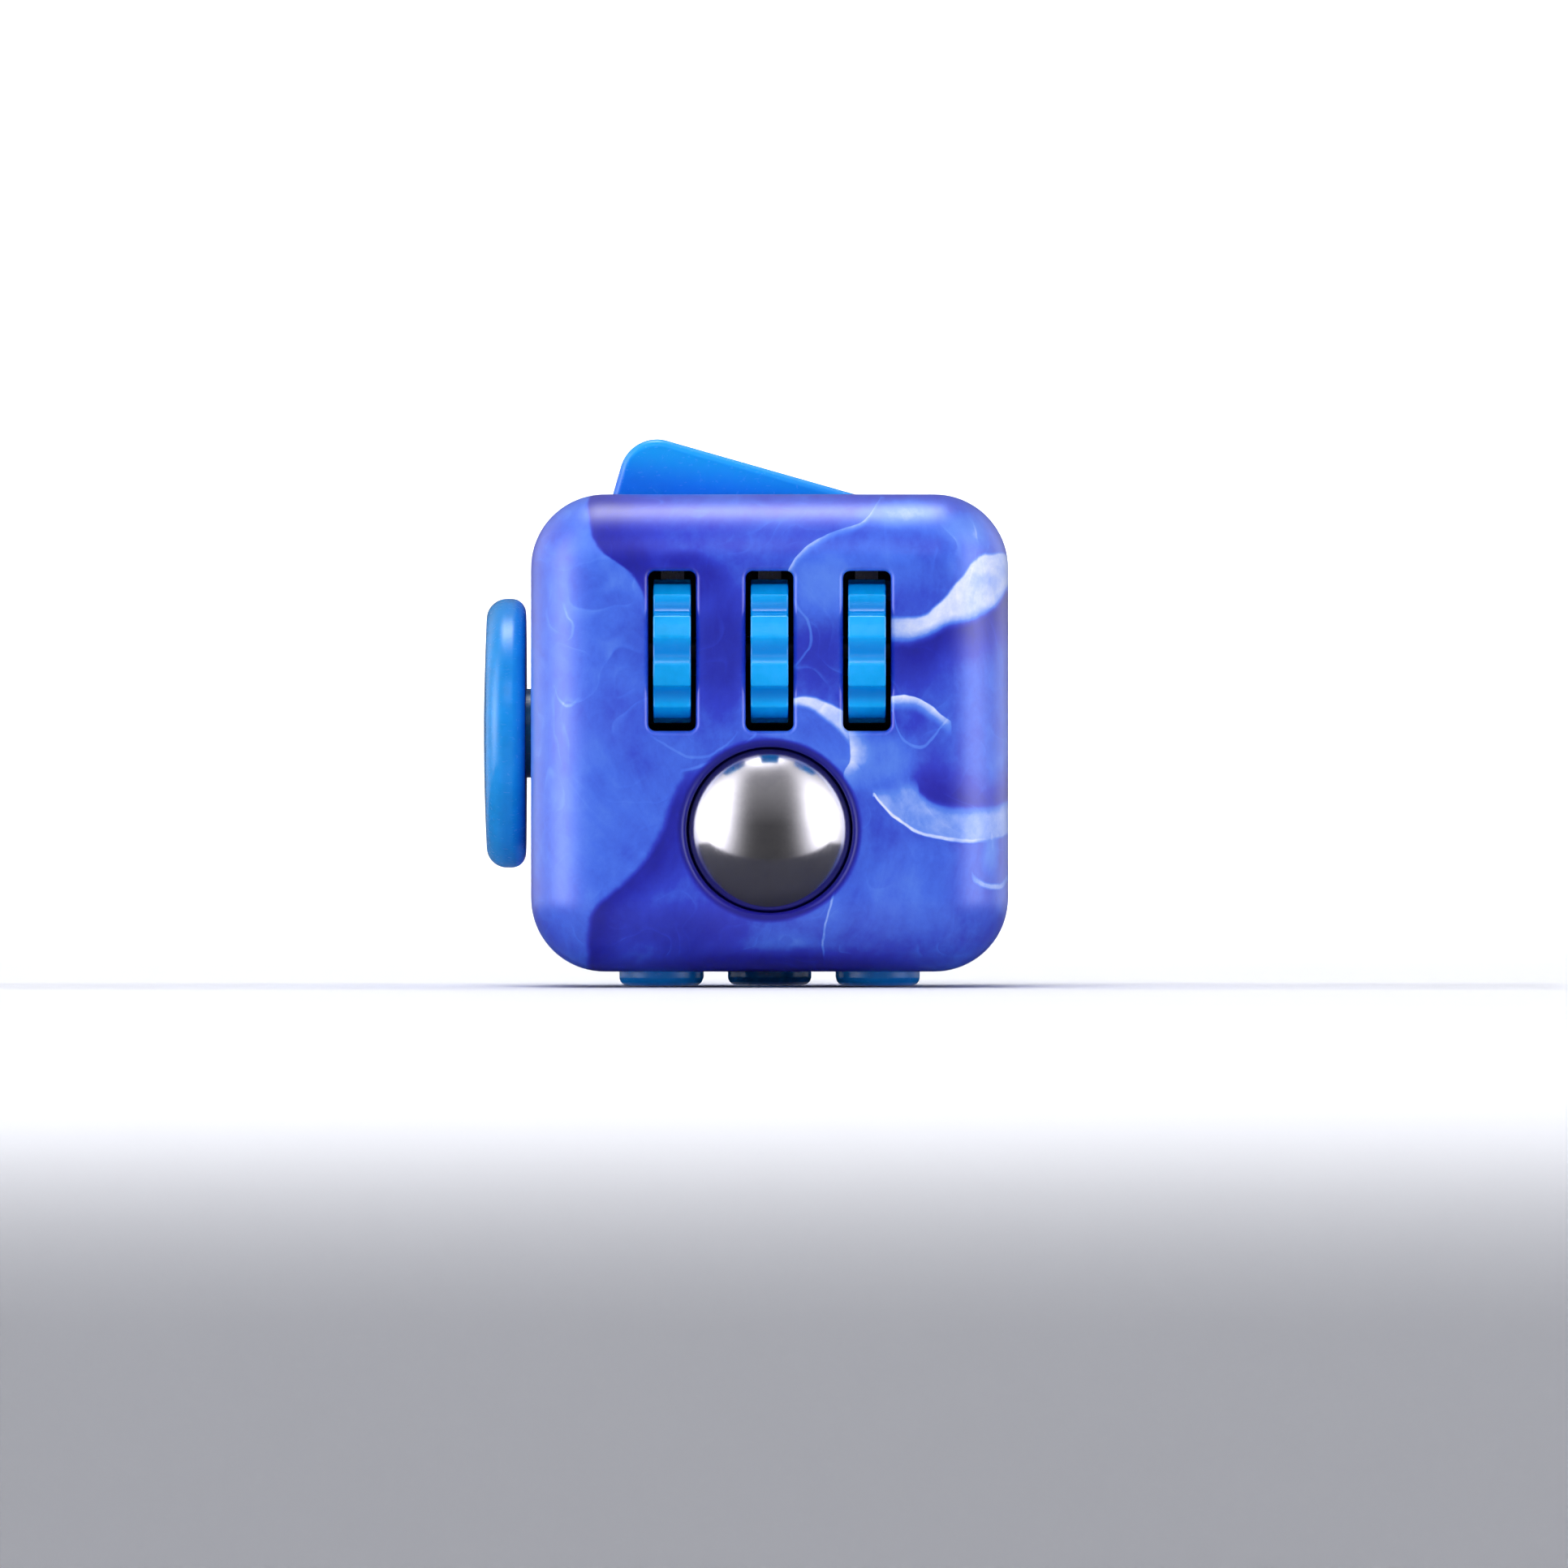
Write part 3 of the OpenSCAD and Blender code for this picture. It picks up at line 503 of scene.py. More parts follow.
# ------------------------------------------------------------------ main body
mb = Shape()
LAP = 0.9
RM = R - WALL / 2
for sgn in (-1, 1):
    f = np.radians(np.linspace(0, 90, 6))
    edge = np.stack([R - E * (1 - np.cos(f)), sgn * (SEAM - E * (1 - np.sin(f))), np.cos(f), sgn * np.sin(f)], 1)
    rings(mb, [edge,
               np.array([[R - E, sgn * SEAM, 0, sgn], [RM, sgn * SEAM, 0, sgn]]),
               np.array([[RM, sgn * SEAM, -1, 0], [RM, sgn * (SEAM - LAP), -1, 0]]),
               np.array([[RM, sgn * (SEAM - LAP), 0, sgn], [RI, sgn * (SEAM - LAP), 0, sgn]])])
ye, yi = SEAM - E, SEAM - LAP
for k, (sx, sz) in enumerate(((1, 1), (-1, 1), (-1, -1), (1, -1))):
    u = np.radians(np.linspace(90 * k, 90 * k + 90, CORNER_SEG + 1))
    d = np.stack([np.cos(u), 0 * u, np.sin(u)], 1)
    base = np.array([sx * C, 0, sz * C + ZC])
    for rad, half, s_n in ((R, ye, 1), (RI, yi, -1)):
        p = base + rad * d
        mb.grid(np.stack([p + (0, -half, 0), p + (0, half, 0)]), np.stack([d, d]) * s_n)


def body_face(plane, long_axis_is_a, holes, dish=None, boss=None):
    ho, hi_ = ye, yi
    if long_axis_is_a:   # a runs along y
        outer = np.array([[ho, C], [-ho, C], [-ho, -C], [ho, -C]])
        inner = np.array([[hi_, C], [-hi_, C], [-hi_, -C], [hi_, -C]])
    else:                # b runs along y
        outer = np.array([[C, ho], [-C, ho], [-C, -ho], [C, -ho]])
        inner = np.array([[C, hi_], [-C, hi_], [-C, -hi_], [C, -hi_]])
    outs, ins = [], []
    for loop, section in holes:
        outs.append(grown(loop, section[0][0][0]))
        ins.append(grown(loop, section[-1][-1][0]))
        hole_wall(mb, plane, loop, section)
    if dish is not None:
        outs.append(dish)
    if boss is not None:
        ins.append(boss)
    flat(mb, plane, outer, outs)
    flat(mb, plane, inner, ins, WALL, -1)


left = Plane((-H, 0, ZC), (0, 1, 0), (0, 0, 1), (-1, 0, 0))
right = Plane((H, 0, ZC), (0, 1, 0), (0, 0, 1), (1, 0, 0))
top = Plane((0, 0, ZT), (1, 0, 0), (0, 1, 0), (0, 0, 1))
bottom = Plane((0, 0, ZB), (1, 0, 0), (0, 1, 0), (0, 0, -1))
body_face(left, True, [(circle_loop(0, 0, 4.02, 96), lip_section(0.08, WALL, 3))])
rlo, rhi = box_mm("flip_rocker")
ROCK_W = (rhi[1] - rlo[1])
body_face(top, False, [(rounded_rect(0, 0, 11.3, ROCK_W / 2 + 0.2, 0.6, 8), lip_section(0.09, WALL, 4))])
BUTTON_XY = [("button_front_left", -7.5, -7.5), ("button_front_right", 7.5, -7.5), ("button_centre", 0, 0), ("button_rear_left", -7.5, 7.5), ("button_rear_right", 7.5, 7.5)]
body_face(bottom, False, [(circle_loop(x, y, 2.98, 72), lip_section(0.22, WALL, 5)) for _, x, y in BUTTON_XY])
# the thumb dish, with a soft rim
DISH_A, DISH_B, DISH_D = 10.2, 8.0, 2.4
ring_n, ang_n = 44, 128
s_end = 1.085
tt = np.linspace(0, 2 * math.pi, ang_n, endpoint=False)


def dish_depth(y, z):
    q = (y / DISH_A) ** 2 + (z / DISH_B) ** 2
    v = DISH_D * (1 - q)
    k = 0.42
    soft = np.where(v > k, v, np.where(v > -k, (v + k) ** 2 / (4 * k), 0))
    return soft * DISH_D / (DISH_D)


ss = np.linspace(0, 1, ring_n) ** 0.85 * s_end
yy = DISH_A * ss[:, None] * np.cos(tt)[None]
zz = DISH_B * ss[:, None] * np.sin(tt)[None]
dd = dish_depth(yy, zz)
dd[-1] = 0
eps = 1e-3
gy = (dish_depth(yy + eps, zz) - dish_depth(yy - eps, zz)) / (2 * eps)
gz = (dish_depth(yy, zz + eps) - dish_depth(yy, zz - eps)) / (2 * eps)
gy[-1] = gz[-1] = 0
mb.grid(right.at(np.stack([yy, zz], 2), dd), right.dir(np.stack([gy, gz], 2), np.ones_like(gy)), wrap=True)
rim = np.stack([yy[-1], zz[-1]], 1)
bh, bd = 8.6, 4.1
bossq = np.array([[9.55, bh], [-6.6, bh], [-6.6, -bh], [9.55, -bh]])
bmid = bossq.mean(0)
body_face(right, True, [], dish=rim, boss=bossq)
for i in range(4):
    p, q = bossq[i], bossq[(i + 1) % 4]
    nrm = np.array([(q - p)[1], -(q - p)[0]])
    if np.dot(nrm, (p + q) / 2 - bmid) < 0:
        nrm = -nrm
    nrm = nrm / np.linalg.norm(nrm)
    mb.grid(np.stack([right.at(np.array([p, q]), np.full(2, WALL)), right.at(np.array([p, q]), np.full(2, bd))]), right.dir(nrm, np.array(0.0)))
mb.poly(right.at(bossq, np.full(4, bd)), -right.n)
for x, y in ((-4, -7.9), (4, -7.9), (-4, 7.9), (4, 7.9)):
    tube(mb, top, x, y, WALL - 0.02, WALL + 0.99, 1.6, 0.6)
for x, y in ((-10.9, 0), (10.9, 0), (0, 9.9)):
    tube(mb, bottom, x, y, WALL - 0.02, WALL + 1.89, 1.5, 0.6)
middle = mb.build("body_sleeve")

# ------------------------------------------------------------------ extruded profiles with rounded rims
def extrude_round(profile, half, f, seg=4, holes=(), bottom_cut=None):
    """Extrudes a closed profile (rows x, z, nx, nz) along local Y over +-half, with rims rounded to radius f.
    holes are loops with a plain bore. Returns a Shape with X and Z as drawn."""
    s = Shape()
    prof = np.asarray(profile, float)
    a = np.radians(np.linspace(0, 90, seg + 1))
    rows = [(-f * (1 - math.sin(k)), -(half - f * (1 - math.cos(k))), math.sin(k), -math.cos(k)) for k in a]
    rows += [(-f * (1 - math.sin(k)), half - f * (1 - math.cos(k)), math.sin(k), math.cos(k)) for k in a[::-1]]
    rows = np.array(rows)
    x = prof[None, :, 0] + rows[:, None, 0] * prof[None, :, 2]
    z = prof[None, :, 1] + rows[:, None, 0] * prof[None, :, 3]
    y = np.repeat(rows[:, 1:2], len(prof), 1)
    n = np.stack([rows[:, None, 2] * prof[None, :, 2], np.repeat(rows[:, 3:4], len(prof), 1), rows[:, None, 2] * prof[None, :, 3]], 2)
    s.grid(np.stack([x, y, z], 2), n, wrap=True)
    cap = np.stack([x[0], z[0]], 1)
    for sgn in (-1, 1):
        pl = Plane((0, sgn * half, 0), (1, 0, 0), (0, 0, 1), (0, sgn, 0))
        flat(s, pl, cap, [h for h in holes])
    for h in holes:
        h = np.asarray(h, float)
        p = np.stack([np.stack([h[:, 0], np.full(len(h), yy_), h[:, 1]], 1) for yy_ in (-half, half)])
        nn = np.stack([-h[:, 2], 0 * h[:, 2], -h[:, 3]], 1)
        s.grid(p, np.stack([nn, nn]), wrap=True)
    return s


# ------------------------------------------------------------------ gears
def gear_profile(ro=4.97, teeth=9, land=9.5, rs=1.15, rho=0.24):
    """Tooth outline around the local Y axis: flat-topped teeth, round gaps and rounded corners between them."""
    pitch = 360 / teeth
    half_gap = math.radians(pitch / 2 - land)
    reach = ro * math.cos(half_gap) + math.sqrt(rs ** 2 - (ro * math.sin(half_gap)) ** 2)
    a, b, c = ro - rho, reach, rs + rho
    ang = math.acos((a * a + b * b - c * c) / (2 * a * b))        # from the gap's centre line to the corner's centre
    fx, fy = a * math.cos(ang), a * math.sin(ang)
    back = math.atan2(fy, fx - reach)
    rows = []
    for k in range(teeth):
        base = math.radians(180 + k * pitch)
        cs, sn = math.cos(base), math.sin(base)
        piece = []
        # round gap from one side to the other
        for w in np.linspace(-back, -(2 * math.pi - back), 13):
            piece.append((reach + rs * math.cos(w), rs * math.sin(w), -math.cos(w), -math.sin(w)))
        # upper corner
        start = math.atan2(-(fy), -(fx - reach))
        for w in np.linspace(start, ang, 6):
            piece.append((fx + rho * math.cos(w), fy + rho * math.sin(w), math.cos(w), math.sin(w)))
        # tooth top
        for w in np.linspace(ang, math.radians(pitch) - ang, 9)[1:-1]:
            piece.append((ro * math.cos(w), ro * math.sin(w), math.cos(w), math.sin(w)))
        # lower corner of the next gap
        gx, gy_ = a * math.cos(math.radians(pitch) - ang), a * math.sin(math.radians(pitch) - ang)
        for w in np.linspace(math.radians(pitch) - ang, math.radians(pitch) - start, 6):
            piece.append((gx + rho * math.cos(w), gy_ + rho * math.sin(w), math.cos(w), math.sin(w)))
        for (px, py, nx, ny) in piece:
            rows.append((px * cs - py * sn, px * sn + py * cs, nx * cs - ny * sn, nx * sn + ny * cs))
    return np.array(rows)


def make_gear(name, cx):
    prof = gear_profile()
    # profile plane: first axis is world y, second is world z; extruded along world x
    s = extrude_round(prof, GEAR_W / 2, 0.13, 3, holes=[circle_loop(0, 0, 0.85, 40)])
    rot = np.array([[0, 1, 0], [1, 0, 0], [0, 0, 1]])
    g = Shape()
    g.join(s, rot, (cx, GEAR_Y, GEAR_Z))
    return g.build(name)


gears = [make_gear("gear_left_wheel", -PITCH), make_gear("gear_centre_wheel", 0), make_gear("gear_right_wheel", PITCH)]

# ------------------------------------------------------------------ flip rocker
PIVOT_Z = (box_mm("flip_pivot_pin")[0][2] + box_mm("flip_pivot_pin")[1][2]) / 2
TILT = math.radians(15.9)
RK_HALF, RK_TOP, RK_R, RK_F = 11.08, 3.81, 2.6, 0.55


def make_rocker():
    s = Shape()
    # rows: x, z, way the rim's rounding pulls it (x, z), normal (x, z)
    rows = [(RK_HALF - 0.5, -2.6, 1, 0, 0.62, -0.78), (RK_HALF, -2.2, 1, 0, 0.62, -0.78)]
    rows += [(RK_HALF, -2.2, 1, 0, 1, 0)]
    for k in np.radians(np.linspace(0, 90, 19)):
        rows.append((RK_HALF - RK_R + RK_R * math.cos(k), RK_TOP - RK_R + RK_R * math.sin(k), math.cos(k), math.sin(k), math.cos(k), math.sin(k)))
    for x in np.linspace(RK_HALF - RK_R, -RK_HALF + RK_R, 9)[1:-1]:
        rows.append((x, RK_TOP, 0, 1, 0, 1))
    for k in np.radians(np.linspace(90, 180, 19)):
        rows.append((-RK_HALF + RK_R + RK_R * math.cos(k), RK_TOP - RK_R + RK_R * math.sin(k), math.cos(k), math.sin(k), math.cos(k), math.sin(k)))
    rows += [(-RK_HALF, -2.2, -1, 0, -1, 0), (-RK_HALF, -2.2, -1, 0, -0.62, -0.78), (-RK_HALF + 0.5, -2.6, -1, 0, -0.62, -0.78)]
    prof = np.array(rows, float)
    half = ROCK_W / 2
    a = np.radians(np.linspace(0, 90, 7))
    sec = [(-RK_F * (1 - math.sin(k)), -(half - RK_F * (1 - math.cos(k))), math.sin(k), -math.cos(k)) for k in a]
    sec += [(-RK_F * (1 - math.sin(k)), half - RK_F * (1 - math.cos(k)), math.sin(k), math.cos(k)) for k in a[::-1]]
    sec = np.array(sec)
    x = prof[None, :, 0] + sec[:, None, 0] * prof[None, :, 2]
    z = prof[None, :, 1] + sec[:, None, 0] * prof[None, :, 3]
    y = np.repeat(sec[:, 1:2], len(prof), 1)
    n = np.stack([sec[:, None, 2] * prof[None, :, 4], np.repeat(sec[:, 3:4], len(prof), 1), sec[:, None, 2] * prof[None, :, 5]], 2)
    s.grid(np.stack([x, y, z], 2), n)
    cap = np.stack([x[0], z[0]], 1)
    for sg in (-1, 1):
        flat(s, Plane((0, sg * half, 0), (1, 0, 0), (0, 0, 1), (0, sg, 0)), cap)
    # underside with its pocket
    rim_pts = np.concatenate([np.stack([x[:, 0], y[:, 0]], 1), np.stack([x[::-1, -1], y[::-1, -1]], 1)])
    pocket = rounded_rect(0, 0, 9.9, 3.8, 0.4, 4)
    under = Plane((0, 0, -2.6), (1, 0, 0), (0, 1, 0), (0, 0, -1))
    flat(s, under, rim_pts, [pocket])
    depth = 2.6 + RK_TOP - 1.4
    hole_wall(s, under, pocket, [np.array([[0, 0, -1, 0], [0, depth, -1, 0]])])
    flat(s, under, pocket, [], depth, 1)
    # hub and detent nose inside
    hub = extrude_round(circle_loop(0, 0, 2.2, 48), 1.9, 0.12, 2, holes=[circle_loop(0, 0, 1.05, 40)])
    s.join(hub)
    s.join(extrude_round(rounded_rect(0, -2.7, 0.9, 1.1, 0.89, 6), 1.4, 0.1, 2))
    c, q = math.cos(TILT), math.sin(TILT)
    rot = np.array([[c, 0, q], [0, 1, 0], [-q, 0, c]])
    g = Shape()
    g.join(s, rot, (0, 0, PIVOT_Z))
    return g.build("rocker")


rocker = make_rocker()


# ------------------------------------------------------------------ ball
def make_ball():
    s = Shape()
    m = 28
    t = np.tan(np.linspace(-math.pi / 4, math.pi / 4, m + 1))
    u, v = np.meshgrid(t, t)
    one = np.ones_like(u)
    for f in ((u, v, one), (u, v, -one), (u, one, v), (u, -one, v), (one, u, v), (-one, u, v)):
        p = np.stack(f, 2)
        p = p / np.linalg.norm(p, axis=2)[..., None]
        s.grid(BALL + BALL_R * p, p)
    return s.build("ball")


ball = make_ball()

# ------------------------------------------------------------------ spin dial
DIAL_X = box_mm("spin_dial")
RD, DT, DOME = 9.35, 2.75, 0.2
DIAL_IN = -H - 0.42


def make_dial():
    s = Shape()
    a0 = arc(RD - 1, 1, 1, -90, 0, 10)
    end = 90 - math.degrees(math.atan(2 * DOME / (RD - 1.4)))
    a1 = arc(RD - 1.4, DT - 1.4, 1.4, 0, end, 16)
    stem = [np.array([[3.1, -4.2, 1, 0], [3.1, 0, 1, 0]]),
            np.array([[3.1, 0, 0, -1], [RD - 1, 0, 0, -1]]), a0,
            np.array([[RD, 1, 1, 0], [RD, DT - 1.4, 1, 0]]), a1,
            np.array([[3.1, -4.2, 0, -1], [0.8, -4.2, 0, -1]]),
            np.array([[0.8, -4.2, -1, 0], [0.8, -1.0, -1, 0]]),
            np.array([[0.8, -1.0, 0, -1], [0, -1.0, 0, -1]])]
    s.join(lathe(stem, 160))
    re, te = a1[-1, 0], a1[-1, 1]

    def height(px, py):
        r2 = px ** 2 + py ** 2
        base = te + DOME * (1 - r2 / re ** 2)
        # local x is world z here, so the dimple sits above the axis
        d2 = (px - 4.7) ** 2 + py ** 2
        floor = (DT + 0.15 + 5) - np.sqrt(np.maximum(36 - d2, 1e-6))
        k = 0.16
        hh = np.clip(0.5 + 0.5 * (base - floor) / k, 0, 1)
        soft = base * (1 - hh) + floor * hh - k * hh * (1 - hh)
        fade = np.clip((re - np.sqrt(r2)) / 0.25, 0, 1)
        fade = fade * fade * (3 - 2 * fade)
        return base * (1 - fade) + soft * fade

    rr = np.concatenate([np.linspace(0, 1.2, 6), np.linspace(1.2, re, 70)[1:]])
    th = np.linspace(0, 2 * math.pi, 160, endpoint=False)
    px, py = rr[:, None] * np.cos(th), rr[:, None] * np.sin(th)
    hh = height(px, py)
    hh[-1] = te
    e = 1e-3
    gx = (height(px + e, py) - height(px - e, py)) / (2 * e)
    gy_ = (height(px, py + e) - height(px, py - e)) / (2 * e)
    nrm = np.stack([-gx, -gy_, np.ones_like(gx)], 2)
    nrm[-1] = np.stack([np.cos(th) * a1[-1, 2], np.sin(th) * a1[-1, 2], np.full_like(th, a1[-1, 3])], 1)
    nrm /= np.linalg.norm(nrm, axis=2)[..., None]
    s.grid(np.stack([px, py, hh], 2), nrm, wrap=True)
    g = Shape()
    # local x -> world z, local y -> world y, local z -> world -x
    rot = np.array([[0, 0, -1], [0, 1, 0], [1, 0, 0]])
    g.join(s, rot, (DIAL_IN, 0, ZC))
    return g.build("dial")


dial = make_dial()

# ------------------------------------------------------------------ joystick
STICK_Y = H - 7.8
RC, CT = 6.75, 2.6
cap_in = H + 2.8


def stick_parts():
    r0 = 0.75
    top_pts = [(RC - r0 - 0.65 * 1.0, CT - 0.10), (RC - 2.3, CT - 0.62), (RC * 0.45, CT - 1.08), (RC * 0.2, CT - 1.18), (0, CT - 1.2)]
    rim_arc = arc(RC - r0, CT - r0, r0, 0, 118, 14)
    q = rim_arc[-1]
    # smooth hollow from the rim's end to the centre, tangent at both ends
    w = np.linspace(0, 1, 26)
    d = math.radians(118 + 90)
    p0 = np.array([q[0], q[1]])
    p3 = np.array([0.0, CT - 1.2])
    p1 = p0 + 1.5 * np.array([math.cos(d), math.sin(d)])
    p2 = p3 + np.array([3.6, 0])
    b = ((1 - w) ** 3)[:, None] * p0 + (3 * w * (1 - w) ** 2)[:, None] * p1 + (3 * w * w * (1 - w))[:, None] * p2 + (w ** 3)[:, None] * p3
    tan = np.gradient(b, axis=0)
    tan[0] = p1 - p0
    tan[-1] = p3 - p2
    tan /= np.linalg.norm(tan, axis=1)[:, None]
    hollow = np.hstack([b, np.stack([tan[:, 1], -tan[:, 0]], 1)])
    if hollow[-1, 3] < 0:
        hollow[:, 2:] *= -1
    cap = lathe([np.array([[0, 0.9, 0, -1], [2.4, 0.9, 0, -1]]), np.array([[2.4, 0.9, -1, 0], [2.4, 0, -1, 0]]),
                 np.array([[2.4, 0, 0, -1], [RC - 1.3, 0, 0, -1]]), arc(RC - 1.3, 1.3, 1.3, -90, 0, 12),
                 np.array([[RC, 1.3, 1, 0], [RC, CT - r0, 1, 0]]), rim_arc, hollow], 128)
    c = Shape()
    c.join(cap, ALONG_Y, (0, cap_in, ZC))
    DR, DI = 8.2, 7.1
    cut = DR / 2
    a_o = math.degrees(math.asin(cut / DR))
    a_i = math.degrees(math.asin(cut / DI))
    stem_r, top_y = 2.4, H + 2.8 + 0.9 - STICK_Y
    f = 0.5
    # the stem runs into the dome with a small fillet
    fc_r = stem_r + f
    fc_y = math.sqrt((DR + f) ** 2 - fc_r ** 2)
    ang = math.degrees(math.atan2(fc_y, fc_r))
    out = lathe([np.array([[3.0, -1.7, 0, -1], [0, -1.7, 0, -1]]),
                 np.array([[3.0, -1.7, 1, 0], [3.0, math.sqrt(DI ** 2 - 9), 1, 0]]),
                 arc(0, 0, DI, math.degrees(math.acos(3.0 / DI)), a_i, 20, inward=True),
                 np.array([[DI * math.cos(math.radians(a_i)), cut, 0, -1], [DR * math.cos(math.radians(a_o)), cut, 0, -1]]),
                 arc(0, 0, DR, a_o, ang, 28),
                 arc(fc_r, fc_y, f, 180 + ang, 180, 6, inward=True),
                 np.array([[stem_r, fc_y, 1, 0], [stem_r, top_y, 1, 0]]),
                 np.array([[stem_r, top_y, 0, 1], [0, top_y, 0, 1]])], 128)
    st = Shape()
    st.join(out, ALONG_Y, (0, STICK_Y, ZC))
    return c.build("stick_cap"), st.build("stick_stem")


stick_cap, stick_stem = stick_parts()

# ------------------------------------------------------------------ buttons
FLOOR_Z, TRAY_Z = ZB + 1.8, ZB + 3.7
RB = 2.9


def make_button(name, x, y, post_r, post_top):
    f = 0.6
    dome = 0.05
    tip = [np.array([[0, 0, 0, -1], [RB - f, 0, 0, -1]]), arc(RB - f, f, f, -90, 0, 10),
           np.array([[RB, f, 1, 0], [RB, FLOOR_Z + 0.05, 1, 0]]),
           np.array([[RB, FLOOR_Z + 0.05, 0, -1], [3.6, FLOOR_Z + 0.05, 0, -1]]),
           np.array([[3.6, FLOOR_Z + 0.05, 1, 0], [3.6, FLOOR_Z + 0.65, 1, 0]]),
           np.array([[3.6, FLOOR_Z + 0.65, 0, 1], [post_r, FLOOR_Z + 0.65, 0, 1]]),
           np.array([[post_r, FLOOR_Z + 0.65, 1, 0], [post_r, post_top, 1, 0]]),
           np.array([[post_r, post_top, 0, 1], [0, post_top, 0, 1]])]
    s = Shape()
    s.join(lathe(tip, 72), None, (x, y, 0))
    return s.build(name)


buttons = []
for name, x, y in BUTTON_XY:
    rear = name.startswith("button_rear")
    buttons.append((make_button(name.replace("button", "key"), x, y, 1.1 if rear else 1.5, TRAY_Z - (0.4 if rear else 0.8)), name))

# ------------------------------------------------------------------ what stands for what
PIECES = [
    (front, "housing", ["front_cover"], "marbled_shell"),
    (middle, "housing", ["main_body"], "marbled_shell"),
    (back, "housing", ["back_cover"], "marbled_shell"),
    (gears[0], "gear_left", ["gear_left"], "control_plastic"),
    (gears[1], "gear_centre", ["gear_centre"], "control_plastic"),
    (gears[2], "gear_right", ["gear_right"], "control_plastic"),
    (rocker, "flip_rocker", ["flip_rocker"], "control_plastic"),
    (ball, "roll_ball", ["roll_ball"], "polished_ball"),
    (dial, "spin_dial", ["spin_dial"], "control_plastic"),
    (stick_cap, "joystick", ["joystick_cap"], "control_plastic"),
    (stick_stem, "joystick", ["joystick_stem"], "control_plastic"),
]
PIECES += [(o, n, [n], "control_plastic") for o, n in buttons]


# ------------------------------------------------------------------ materials
class V:
    """A node output that can be used in sums."""

    def __init__(self, g, s):
        self.g, self.s = g, s

    def __add__(self, o): return self.g.math("ADD", self, o)
    def __radd__(self, o): return self.g.math("ADD", o, self)
    def __sub__(self, o): return self.g.math("SUBTRACT", self, o)
    def __rsub__(self, o): return self.g.math("SUBTRACT", o, self)
    def __mul__(self, o): return self.g.math("MULTIPLY", self, o)
    def __rmul__(self, o): return self.g.math("MULTIPLY", o, self)
    def __truediv__(self, o): return self.g.math("DIVIDE", self, o)


